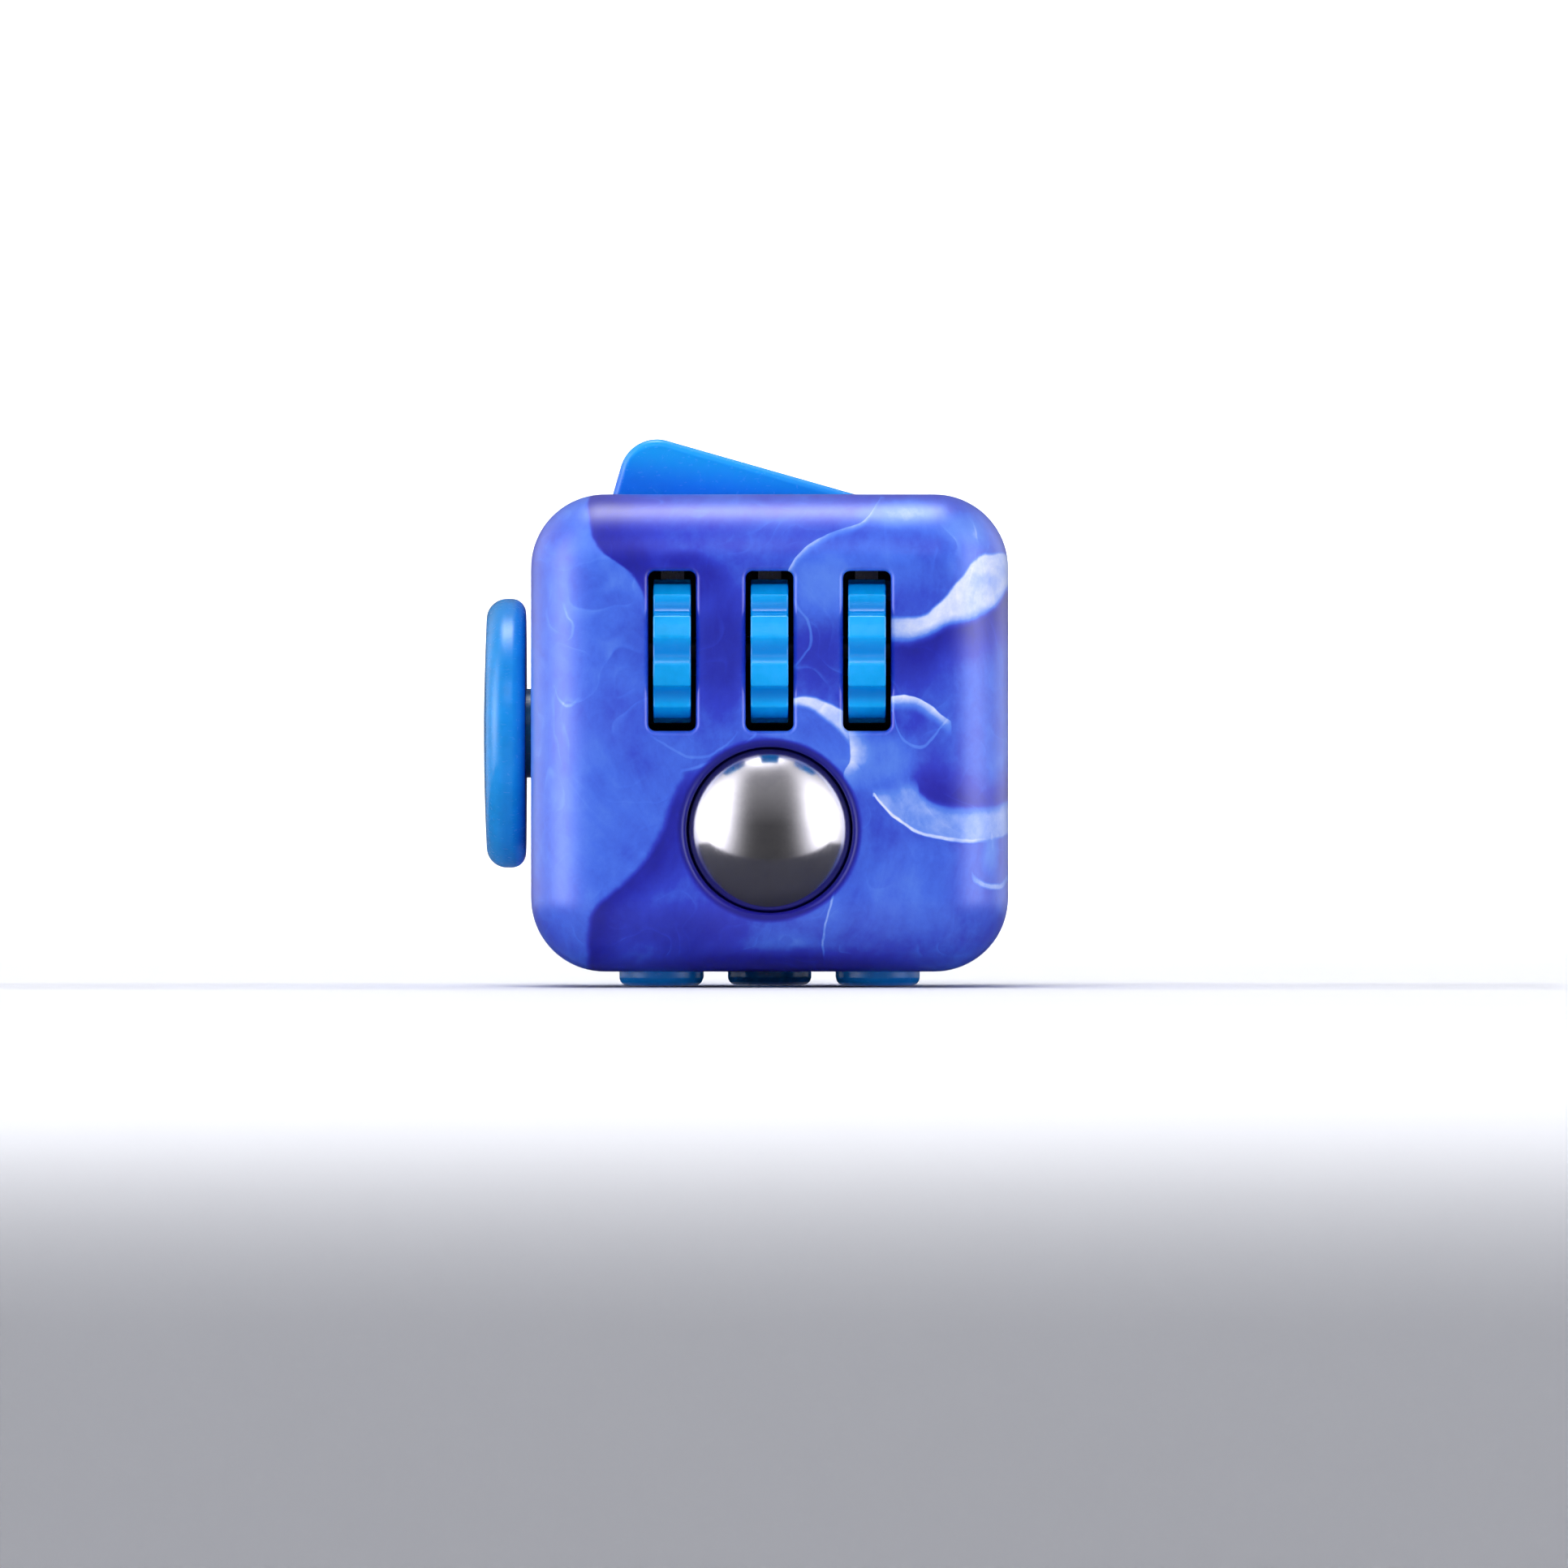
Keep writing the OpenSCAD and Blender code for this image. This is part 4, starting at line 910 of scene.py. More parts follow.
class Graph:
    """A material being wired up."""

    def __init__(self, name):
        self.mat = bpy.data.materials.new(name)
        self.mat.use_nodes = True
        self.nt = self.mat.node_tree
        self.nt.nodes.clear()
        self.col = 0
        tc = self.new("ShaderNodeTexCoord")
        sc = self.new("ShaderNodeVectorMath", operation="SCALE")
        self.nt.links.new(tc.outputs["Object"], sc.inputs[0])
        sc.inputs["Scale"].default_value = 1000.0
        self.P = V(self, sc.outputs[0])              # position in millimetres

    def new(self, kind, **props):
        n = self.nt.nodes.new(kind)
        n.location = ((self.col % 30) * 180, -(self.col // 30) * 260)
        self.col += 1
        for k, v in props.items():
            setattr(n, k, v)
        return n

    def put(self, sock, v):
        if isinstance(v, V):
            self.nt.links.new(v.s, sock)
        elif v is not None:
            sock.default_value = v

    def math(self, op, a, b=None, c=None, clamp=False):
        n = self.new("ShaderNodeMath", operation=op, use_clamp=clamp)
        for s, v in zip(n.inputs, (a, b, c)):
            self.put(s, v)
        return V(self, n.outputs[0])

    def vmath(self, op, a, b=None, scale=None):
        n = self.new("ShaderNodeVectorMath", operation=op)
        self.put(n.inputs[0], a)
        if b is not None:
            self.put(n.inputs[1], b)
        if scale is not None:
            self.put(n.inputs["Scale"], scale)
        return V(self, n.outputs["Value"] if op in ("LENGTH", "DOT_PRODUCT") else n.outputs[0])

    def sep(self, v):
        n = self.new("ShaderNodeSeparateXYZ")
        self.put(n.inputs[0], v)
        return tuple(V(self, o) for o in n.outputs)

    def xyz(self, x, y, z):
        n = self.new("ShaderNodeCombineXYZ")
        for s, v in zip(n.inputs, (x, y, z)):
            self.put(s, v)
        return V(self, n.outputs[0])

    def noise(self, vec, scale, detail=2.0, rough=0.5, dist=0.0, colour=False):
        n = self.new("ShaderNodeTexNoise")
        self.put(n.inputs["Vector"], vec)
        n.inputs["Scale"].default_value = scale
        n.inputs["Detail"].default_value = detail
        n.inputs["Roughness"].default_value = rough
        n.inputs["Distortion"].default_value = dist
        return V(self, n.outputs["Color"] if colour else n.outputs[0])

    def warp(self, vec, scale, amount, detail=1.0, shift=(0, 0, 0)):
        """Pushes a position about by a noise, amount millimetres each way."""
        moved = self.vmath("ADD", vec, shift) if any(shift) else vec
        c = self.noise(moved, scale, detail, colour=True)
        c = self.vmath("SUBTRACT", c, (0.5, 0.5, 0.5))
        c = self.vmath("SCALE", c, scale=amount * 2)
        return self.vmath("ADD", vec, c)

    def smooth(self, v, a, b, lo=0.0, hi=1.0):
        n = self.new("ShaderNodeMapRange", interpolation_type="SMOOTHSTEP")
        self.put(n.inputs["Value"], v)
        for k, w in (("From Min", a), ("From Max", b), ("To Min", lo), ("To Max", hi)):
            self.put(n.inputs[k], w)
        return V(self, n.outputs[0])

    def linear(self, v, a, b, lo=0.0, hi=1.0):
        n = self.new("ShaderNodeMapRange")
        self.put(n.inputs["Value"], v)
        for k, w in (("From Min", a), ("From Max", b), ("To Min", lo), ("To Max", hi)):
            n.inputs[k].default_value = w
        return V(self, n.outputs[0])

    def curve(self, v, pts, lo=None, hi=None):
        """A smooth function through (position, value) points."""
        xs = [p[0] for p in pts]
        ys = [p[1] for p in pts]
        x0, x1 = min(xs), max(xs)
        y0, y1 = min(ys), max(ys)
        if y1 - y0 < 1e-6:
            y1 = y0 + 1
        n = self.new("ShaderNodeFloatCurve")
        c = n.mapping.curves[0]
        q = sorted(((p[0] - x0) / (x1 - x0), (p[1] - y0) / (y1 - y0)) for p in pts)
        while len(c.points) < len(q):
            c.points.new(0.5, 0.5)
        for a, b in zip(c.points, q):
            a.location = b
        n.mapping.extend = "HORIZONTAL"
        n.mapping.update()
        self.put(n.inputs["Value"], self.linear(v, x0, x1))
        return self.linear(V(self, n.outputs[0]), 0, 1, y0, y1) if (y0, y1) != (0, 1) else V(self, n.outputs[0])

    def ramp(self, v, stops, interp="EASE"):
        n = self.new("ShaderNodeValToRGB")
        n.color_ramp.interpolation = interp
        e = n.color_ramp.elements
        while len(e) < len(stops):
            e.new(0.5)
        for a, (p, c) in zip(e, stops):
            a.position = p
            a.color = (*c, 1)
        self.put(n.inputs[0], v)
        return V(self, n.outputs[0])

    def mix(self, f, a, b):
        n = self.new("ShaderNodeMix", data_type="FLOAT")
        self.put(n.inputs[0], f)
        self.put(n.inputs[2], a)
        self.put(n.inputs[3], b)
        return V(self, n.outputs[0])

    def mixc(self, f, a, b, blend="MIX"):
        n = self.new("ShaderNodeMix", data_type="RGBA", blend_type=blend)
        self.put(n.inputs[0], f)
        self.put(n.inputs[6], a)
        self.put(n.inputs[7], b)
        return V(self, n.outputs[2])

    def bump(self, height, strength, dist_mm, normal=None):
        n = self.new("ShaderNodeBump")
        n.inputs["Strength"].default_value = strength
        n.inputs["Distance"].default_value = dist_mm * 0.001
        self.put(n.inputs["Height"], height)
        if normal is not None:
            self.put(n.inputs["Normal"], normal)
        return V(self, n.outputs[0])

    def finish(self, colour, rough, normal=None, **fixed):
        p = self.new("ShaderNodeBsdfPrincipled")
        self.put(p.inputs["Base Color"], colour)
        self.put(p.inputs["Roughness"], rough)
        if normal is not None:
            self.put(p.inputs["Normal"], normal)
        for k, v in fixed.items():
            p.inputs[k.replace("_", " ")].default_value = v
        o = self.new("ShaderNodeOutputMaterial")
        self.nt.links.new(p.outputs[0], o.inputs[0])
        return self.mat


def srgb(h):
    c = [int(h[i:i + 2], 16) / 255 for i in (0, 2, 4)]
    return tuple(x / 12.92 if x <= 0.04045 else ((x + 0.055) / 1.055) ** 2.4 for x in c)


MARBLE = [(0.0, srgb("04068C")), (0.12, srgb("0A12A4")), (0.30, srgb("2034C2")), (0.48, srgb("3A68E0")),
          (0.64, srgb("5686EA")), (0.80, srgb("A2BAF6")), (1.0, srgb("E8ECFC"))]


def swirl(g, P, shift, fold=1.0):
    """Poured-plastic marbling for any face: big soft patches, folds with one crisp side and fine wisps."""
    A = g.warp(P, 0.055, 6.5, 1.0, shift)
    B = g.warp(A, 0.15, 2.3, 1.5, (shift[1], shift[2], shift[0]))
    low = g.noise(g.vmath("ADD", B, (11, 3, 7)), 0.075, 1.5)
    tone = g.linear(low, 0.3, 0.7, 0.12, 0.56)
    n1 = g.noise(g.vmath("ADD", B, (2.5, 17, 5)), 0.066, 1.0)
    saw = g.math("FRACT", n1 * 5.2)
    crisp = g.smooth(saw, 0.0, 0.03) * g.math("POWER", 1.0 - saw, 2.6)
    amp = g.smooth(g.noise(g.vmath("ADD", A, (9, 1, 13)), 0.09, 1.0), 0.47, 0.62)
    tone = g.mix(crisp * amp * (0.95 * fold), tone, 0.97)
    n2 = g.noise(g.vmath("ADD", B, (31, 8, 2)), 0.06, 1.0)
    saw2 = g.math("FRACT", n2 * 4.3)
    dark = g.smooth(saw2, 0.0, 0.035) * g.math("POWER", 1.0 - saw2, 1.6)
    amp2 = g.smooth(g.noise(g.vmath("ADD", A, (4, 22, 6)), 0.08, 1.0), 0.44, 0.6)
    tone = g.mix(dark * amp2 * 0.85, tone, 0.03)
    return tone, A, B


def wisps(g, B, scale=0.13, folds=9.0, shift=(0, 0, 0), power=7.0):
    """Thin smoky lines that follow a smooth noise, crisp on one side and trailing off on the other."""
    W = g.warp(B, 0.30, 1.1, 1.0, shift)
    n = g.noise(g.vmath("ADD", W, shift), scale, 1.2, 0.5)
    saw = g.math("FRACT", n * folds)
    line = g.smooth(saw, 0.0, 0.10) * g.math("POWER", 1.0 - saw, power)
    breaks = g.smooth(g.noise(g.vmath("ADD", B, (shift[1], 40, shift[0])), 0.32, 2.0), 0.42, 0.66)
    return line * breaks


def edge_mark(g, tone, along, across, line_pts, side, fade, level, amp_pts, crisp=0.12, power=1.0):
    """A fold: crisp on the line across = f(along), fading to the given side (+1 or -1) over fade millimetres."""
    f = g.curve(along, line_pts)
    d = (across - f) * float(side)
    up = g.smooth(d, -crisp, crisp)
    down = 1.0 - g.smooth(d, 0.0, fade) if isinstance(fade, (int, float)) else 1.0 - g.smooth(d, 0.0, fade)
    m = up * (down if power == 1.0 else g.math("POWER", down, power))
    a = g.curve(along, amp_pts)
    return g.mix(m * a, tone, level)


def band_mark(g, tone, along, across, low_pts, high_pts, level, amp_pts, crisp=(0.2, 0.2)):
    """A ribbon between two lines."""
    lo = g.curve(along, low_pts)
    hi = g.curve(along, high_pts)
    m = g.smooth(across - lo, -crisp[0], crisp[0]) * g.smooth(hi - across, -crisp[1], crisp[1])
    a = g.curve(along, amp_pts)
    return g.mix(m * a, tone, level)


def blob_mark(g, tone, u, v, cx, cy, rx, ry, level, amp, core=0.25):
    du = (u - cx) / rx
    dv = (v - cy) / ry
    r = g.math("SQRT", du * du + dv * dv)
    return g.mix((1.0 - g.smooth(r, core, 1.0)) * amp, tone, level)


def line_mark(g, tone, along, across, pts, width, level, amp_pts):
    f = g.curve(along, pts)
    d = g.math("ABSOLUTE", across - f)
    m = 1.0 - g.smooth(d, width * 0.25, width)
    return g.mix(m * g.curve(along, amp_pts), tone, level)


def marble_finish(g, tone, hue):
    """Colour, satin roughness and the fine grain of the shell."""
    P = g.P
    grain = g.noise(P, 9.0, 2.0, 0.6)
    speck = g.noise(P, 3.1, 2.0, 0.5)
    tone = tone + (grain - 0.5) * 0.05 + (speck - 0.5) * 0.05
    colour = g.ramp(tone, MARBLE, "LINEAR")
    violet = g.mixc(g.smooth(hue, 0.5, 0.72, 0.0, 0.12), colour, (0.07, 0.035, 0.52, 1))
    keep = g.smooth(tone, 0.45, 0.75)
    colour = g.mixc(keep, violet, colour)
    rough = g.linear(speck, 0.3, 0.7, 0.33, 0.40) + (grain - 0.5) * 0.12
    height = grain * 0.6 + g.noise(P, 20.0, 1.0, 0.5) * 0.5
    return g.finish(colour, rough, g.bump(height, 0.22, 0.012), Specular_IOR_Level=0.5, IOR=1.5, Coat_Weight=0.9, Coat_Roughness=0.34, Coat_IOR=1.5)


def shell_material(name, shift):
    g = Graph(name)
    tone, A, B = swirl(g, g.P, shift)
    w = wisps(g, B, 0.11, 9.0, (shift[2], 3, shift[0]))
    mask = g.smooth(g.noise(g.vmath("ADD", A, (1, 9, 4)), 0.12, 1.0), 0.45, 0.65)
    tone = tone + w * mask * 0.26
    hue = g.noise(g.vmath("ADD", A, (6, 6, 1)), 0.07, 1.0)
    return marble_finish(g, tone, hue)


# Folds, ribbons and soft patches of the front cover, in millimetres on the face (right, up)
# marks begin
MARKS = [
    ('blob', -15.06, 20.23, 7.41, 15.5, 0.5, 0.55, 0.25),
    ('blob', -6.82, 32.21, 7.41, 3.0, 0.3, 0.6, 0.25),
    ('blob', -11.39, 34.36, 2.72, 1.75, 0.06, 0.9, 0.25),
    ('blob', -9.78, 29.63, 2.22, 1.5, 0.06, 0.85, 0.25),
    ('blob', -6.08, 29.63, 2.22, 0.9, 0.1, 0.7, 0.25),
    ('edge', 'z', [(24.23, -8.5), (26.73, -8.79), (28.35, -9.41), (29.44, -10.65), (30.62, -12.03), (32.56, -12.79), (36.06, -12.99)], 1, 5.93, 0.07, [(22.98, 0), (25.23, 0.4), (27.98, 0.8), (31.23, 1), (36.06, 0.9)], 0.38, 1.0),
    ('edge', 'z', [(24.23, -8.5), (26.73, -8.79), (28.35, -9.41), (29.44, -10.65), (30.62, -12.03), (32.56, -12.79), (36.06, -12.99)], -1, 3.71, 0.56, [(22.98, 0), (25.23, 0.3), (27.98, 0.7), (31.23, 0.8), (36.06, 0.5)], 0.2, 1.0),
    ('blob', -3.36, 23.23, 2.47, 6.25, 0.12, 0.75, 0.25),
    ('blob', 3.31, 22.98, 2.22, 3.0, 0.22, 0.6, 0.25),
    ('blob', -4.84, 28.23, 2.72, 2.25, 0.08, 0.7, 0.25),
    ('blob', -0.4, 30.92, 3.71, 2.25, 0.36, 0.5, 0.25),
    ('blob', 3.68, 27.73, 3.21, 3.5, 0.6, 0.9, 0.25),
    ('blob', 7.01, 29.23, 5.43, 3.0, 0.52, 0.6, 0.25),
    ('edge', 'x', [(1.21, 28.6), (1.7, 29.36), (2.32, 30.18), (3.43, 31.07), (5.04, 32.04), (6.4, 32.74), (7.26, 34.36), (7.75, 36.06)], -1, 1.09, 0.82, [(0.74, 0), (1.09, 0.8), (2.32, 0.9), (5.04, 0.65), (6.52, 0.8), (7.75, 0.4), (8.1, 0)], 0.04, 2.0),
    ('blob', 9.36, 33.63, 4.69, 2.75, 0.74, 0.85, 0.05),
    ('blob', 13.99, 32.21, 2.96, 2.25, 0.66, 0.7, 0.25),
    ('blob', 13.37, 29.23, 2.22, 2.0, 0.52, 0.6, 0.25),
    ('edge', 'x', [(8.12, 23.93), (9.36, 23.78), (10.47, 24.03), (11.46, 24.48), (12.51, 25.03), (13.68, 25.23), (14.99, 25.6), (16.52, 26.23), (18.73, 27.48)], -1, 4.69, 0.04, [(7.77, 0), (8.12, 0.4), (9.73, 0.9), (12.79, 0.95), (18.73, 1)], 0.3, 1.0),
    ('band', 'x', [(8.12, 23.93), (9.36, 23.78), (10.47, 24.03), (11.46, 24.48), (12.51, 25.03), (13.68, 25.23), (14.99, 25.6), (16.52, 26.23), (18.73, 27.48)], [(8.12, 25.43), (9.36, 25.48), (10.47, 25.6), (11.46, 26.35), (12.51, 27.48), (13.68, 28.85), (14.64, 29.82), (15.72, 30.27), (18.73, 30.27)], 0.98, [(7.77, 0), (8.12, 0.8), (10.22, 0.9), (14.31, 0.95), (18.73, 0.75)], (0.7, 0.22)),
    ('blob', 3.18, 17.98, 2.47, 1.25, 0.44, 0.7, 0.25),
    ('band', 'x', [(1.21, 19.58), (2.32, 19.53), (3.06, 19.23), (4.05, 18.43), (4.91, 17.53), (5.58, 16.73)], [(1.21, 19.98), (2.32, 20.15), (3.06, 20.08), (4.05, 19.68), (4.91, 19.23), (5.58, 18.48)], 0.98, [(0.86, 0), (1.21, 0.9), (5.04, 0.85), (5.58, 0)], (0.3, 0.12)),
    ('blob', 8.0, 15.48, 3.46, 2.75, 0.6, 0.85, 0.25),
    ('edge', 'z', [(13.23, 5.16), (14.48, 5.04), (15.1, 5.33), (15.85, 5.63), (16.73, 5.58), (17.98, 5.33), (19.23, 5.04)], 1, 2.72, 0.88, [(13.23, 0), (14.6, 0.7), (15.98, 1), (17.73, 0.8), (19.48, 0.4), (19.83, 0)], 0.06, 2.4),
    ('blob', 10.1, 17.98, 1.48, 1.25, 0.28, 0.7, 0.25),
    ('line', 'x', [(8.5, 18.85), (8.87, 17.6), (9.48, 16.78), (10.35, 16.48), (11.21, 16.98), (11.97, 17.85), (12.37, 18.28)], 0.16, 0.62, [(8.15, 0), (8.5, 0.5), (9.98, 0.8), (11.97, 0.8), (12.4, 0)]),
    ('edge', 'x', [(8.5, 19.85), (9.36, 19.83), (10.22, 19.6), (11.09, 19.18), (11.84, 18.58), (12.51, 18.1)], -1, 1.19, 0.96, [(8.1, 0), (8.45, 0.95), (10.96, 0.95), (12.1, 0.7), (12.56, 0)], 0.06, 1.0),
    ('band', 'x', [(9.73, 13.85), (10.47, 13.23), (12.24, 12.43), (14.99, 12.18), (18.73, 12.68)], [(9.73, 13.98), (10.96, 14.6), (12.79, 14.23), (15.35, 13.73), (18.73, 14.23)], 0.05, [(9.73, 0), (10.96, 0.8), (12.79, 0.9), (14.99, 0.6), (16.52, 0.6), (18.73, 0.9)], (0.2, 1.5)),
    ('band', 'x', [(7.14, 13.08), (8.0, 12.23), (8.99, 11.53), (11.21, 10.48), (14.31, 10.03), (18.73, 10.48)], [(7.14, 13.18), (8.5, 13.53), (9.98, 13.93), (10.52, 13.18), (12.24, 12.33), (14.99, 12.08), (18.73, 12.63)], 0.84, [(7.01, 0), (7.26, 0.9), (8.99, 0.6), (11.21, 0.65), (14.31, 0.8), (18.73, 0.75)], (0.12, 0.6)),
    ('line', 'x', [(7.14, 13.08), (8.0, 12.23), (8.99, 11.53), (11.21, 10.48), (14.31, 10.03), (18.73, 10.48)], 0.2, 1.0, [(7.01, 0), (7.38, 1), (11.46, 0.9), (14.31, 0.6), (16.11, 0)]),
    ('blob', 9.24, 5.97, 4.2, 3.75, 0.6, 0.55, 0.25),
    ('blob', -5.83, 3.39, 6.42, 3.25, 0.14, 0.7, 0.25),
    ('blob', 16.31, 9.23, 1.48, 2.5, 0.78, 0.75, 0.05),
    ('line', 'x', [(14.31, 7.68), (15.35, 6.98), (16.52, 6.78), (18.73, 7.35)], 0.3, 0.86, [(14.31, 0), (16.11, 0.8), (18.73, 0.5)]),
    ('edge', 'z', [(-1.59, 4.05), (1.61, 3.68), (3.39, 3.85), (4.9, 4.17), (6.23, 4.49)], 1, 1.73, 0.52, [(-1.59, 0.6), (5.72, 0.6), (6.73, 0)], 0.06, 1.0),
    ('line', 'z', [(-1.59, 4.05), (1.61, 3.68), (3.39, 3.85), (4.9, 4.17), (6.23, 4.49)], 0.12, 0.78, [(-1.59, 0.7), (5.72, 0.8), (6.73, 0)]),
    ('blob', 0.34, -0.21, 12.84, 2.75, 0.05, 0.85, 0.25),
    ('edge', 'z', [(-1.59, -12.91), (2.37, -12.71), (4.02, -12.35), (5.51, -11.46), (6.98, -9.98), (8.73, -8.5), (10.48, -7.56), (12.1, -6.94), (13.48, -6.45), (14.6, -5.78)], 1, 4.45, 0.05, [(-1.59, 0.9), (6.73, 1), (11.73, 0.95), (13.73, 0.75), (14.98, 0.3), (15.33, 0)], 0.42, 1.0),
    ('edge', 'z', [(-1.59, -12.91), (2.37, -12.71), (4.02, -12.35), (5.51, -11.46), (6.98, -9.98), (8.73, -8.5), (10.48, -7.56), (12.1, -6.94), (13.48, -6.45), (14.6, -5.78)], -1, 4.94, 0.5, [(-1.59, 0.1), (6.73, 0.5), (11.73, 0.5), (14.98, 0.2), (15.33, 0)], 0.42, 1.0),
    ('line', 'x', [(-8.3, 17.43), (-6.82, 16.6), (-4.84, 15.98), (-3.36, 16.6), (-2.18, 17.73)], 0.14, 0.62, [(-8.3, 0), (-6.82, 0.5), (-3.36, 0.6), (-2.18, 0)]),
    ('line', 'x', [(-6.08, 15.03), (-3.86, 15.68), (-2.13, 16.6), (-0.89, 17.53)], 0.18, 0.68, [(-6.08, 0), (-4.35, 0.6), (-1.39, 0.6), (-0.89, 0)]),
    ('line', 'z', [(21.98, 1.7), (22.98, 2.44), (23.98, 2.94), (24.98, 2.69), (25.98, 1.95), (26.73, 1.7)], 0.15, 0.62, [(21.98, 0), (23.23, 0.7), (25.48, 0.7), (26.73, 0)]),
    ('line', 'z', [(23.98, -14.65), (24.85, -13.81), (25.73, -14.32), (26.73, -14.65)], 0.18, 0.74, [(23.98, 0), (25.23, 0.6), (26.73, 0)]),
    ('line', 'x', [(-15.57, 20.68), (-14.85, 19.6), (-14.06, 19.35), (-13.32, 19.73)], 0.18, 0.78, [(-15.92, 0), (-15.57, 0.3), (-14.65, 0.7), (-13.32, 0.2), (-12.97, 0)]),
]
# marks end


def front_material():
    g = Graph("marbled_front")
    x, y, z = g.sep(g.P)
    zr = z - ZC
    # the face and its rounded rim laid out flat, so the marbling runs round the edges without stretching
    ex = g.math("MAXIMUM", g.math("ABSOLUTE", x) - C, 0.0) * g.math("SIGN", x)
    ez = g.math("MAXIMUM", g.math("ABSOLUTE", zr) - C, 0.0) * g.math("SIGN", zr)
    ln = g.math("SQRT", ex * ex + ez * ez) + 1e-3
    k = g.math("MINIMUM", y + H, R) * 0.57 / ln
    u0 = x + ex * k
    v0 = z + ez * k
    flat_p = g.xyz(u0, -H, v0)
    W = g.warp(flat_p, 0.13, 0.55, 2.0, (3, 5, 1))
    W = g.warp(W, 0.7, 0.14, 2.0, (8, 2, 4))
    u, _, v = g.sep(W)
    F = g.warp(flat_p, 0.10, 4.0, 1.0, (7, 12, 3))
    low = g.noise(F, 0.10, 2.0)
    tone = g.linear(low, 0.3, 0.7, 0.30, 0.48)
    for m in MARKS:
        if m[0] == "edge":
            _, ax, p, side, fade, level, amp, crisp, power = m
            a, b = (u, v) if ax == "x" else (v, u)
            tone = edge_mark(g, tone, a, b, p, side, fade, level, amp, crisp, power)
        elif m[0] == "band":
            _, ax, lo, hi, level, amp, crisp = m
            a, b = (u, v) if ax == "x" else (v, u)
            tone = band_mark(g, tone, a, b, lo, hi, level, amp, crisp)
        elif m[0] == "blob":
            _, cx, cy, rx, ry, level, amp, core = m
            tone = blob_mark(g, tone, u, v, cx, cy, rx, ry, level, amp, core)
        else:
            _, ax, p, width, level, amp = m
            a, b = (u, v) if ax == "x" else (v, u)
            tone = line_mark(g, tone, a, b, p, width, level, amp)
    w1 = wisps(g, F, 0.12, 11.0, (5, 1, 9))
    w2 = wisps(g, flat_p, 0.17, 8.0, (15, 21, 3), 10.0)
    mask = g.smooth(g.noise(g.vmath("ADD", F, (1, 9, 4)), 0.13, 1.0), 0.44, 0.62)
    tone = tone + w1 * mask * 0.26 + w2 * (1.0 - mask) * 0.13
    st = g.noise(g.vmath("MULTIPLY", F, (1.0, 1.0, 0.45)), 0.9, 3.0, 0.6)
    tone = tone + (st - 0.5) * 0.20
    fold = g.noise(g.vmath("MULTIPLY", g.warp(flat_p, 0.35, 1.2, 1.0, (2, 9, 6)), (0.55, 1.0, 1.0)), 0.62, 3.0, 0.55)
    tone = tone - g.smooth(tone, 0.62, 0.9) * g.linear(fold, 0.42, 0.68, 0.0, 0.10)
    # painted shade: the lip round the ball is coloured the deepest blue, as the shadow in the hole
    bx = x * x + (z - 10.8) * (z - 10.8)
    ring = g.math("SQRT", bx)
    tone = g.mix((1.0 - g.smooth(ring, 6.0, 6.5)) * 0.96, tone, -0.12)
    cloud = g.noise(g.vmath("ADD", g.warp(flat_p, 0.22, 2.2, 2.0, (14, 5, 8)), (4, 4, 9)), 0.34, 4.0, 0.6)
    tone = tone + g.smooth(tone, 0.20, 0.42) * (cloud - 0.5) * 0.26
    hue = g.noise(g.vmath("ADD", F, (6, 6, 1)), 0.10, 1.0)
    return marble_finish(g, tone, hue)


def azure_material(name, base, shift, rough=0.20, shade=None):
    """Glossy moulded plastic: slight colour drift, faint flow marks and soft orange peel; for the gears and the rocker
    also painted shade and painted light in the colour.
    """
    g = Graph(name)
    P = g.vmath("ADD", g.P, shift)
    drift = g.noise(P, 0.12, 2.0, 0.5)
    flow = g.noise(g.vmath("MULTIPLY", P, (1.0, 0.3, 1.0)), 1.6, 3.0, 0.55)
    fine = g.noise(P, 7.0, 2.0, 0.5)
    deep = tuple(c * 0.80 for c in base)
    pale = tuple(min(1, c * 1.12 + 0.012) for c in base)
    t = g.linear(drift, 0.3, 0.7) * 0.75 + g.linear(flow, 0.3, 0.7) * 0.25
    colour = g.ramp(t, [(0.0, deep), (0.5, base), (1.0, pale)], "B_SPLINE")
    if shade == "gear":
        # painted shade: the valleys between the teeth are coloured darker, where less light reaches them
        x, y, z = g.sep(g.P)
        rad = g.math("SQRT", (y - GEAR_Y) * (y - GEAR_Y) + (z - GEAR_Z) * (z - GEAR_Z))
        colour = g.mixc(g.smooth(rad, 4.25, 4.93), (base[0], base[1] * 0.50, base[2] * 0.72, 1), colour)
    elif shade == "rocker":
        x, y, z = g.sep(g.P)
        # painted light: the rocker is coloured lighter higher up and darker lower down, as if lit from above
        colour = g.mixc(g.smooth(z + x * 0.15, 33.2, 36.2) * 0.9, (base[0], base[1] * 0.62, base[2] * 0.94, 1), (base[0], base[1] * 1.45, base[2] * 1.06, 1))
        colour = g.mixc(g.linear(flow, 0.3, 0.7) * 0.15, colour, (*pale, 1))
    r = g.linear(flow, 0.3, 0.7, rough - 0.03, rough + 0.04) + (fine - 0.5) * 0.05
    scuff = g.smooth(g.noise(g.vmath("MULTIPLY", P, (0.35, 2.2, 0.9)), 5.0, 2.0), 0.62, 0.72)
    r = r + scuff * 0.10
    height = fine * 0.5 + g.noise(P, 0.9, 2.0) * 0.8
    return g.finish(colour, r, g.bump(height, 0.30, 0.02), Specular_IOR_Level=0.5, IOR=1.5, Coat_Weight=0.15, Coat_Roughness=0.12)


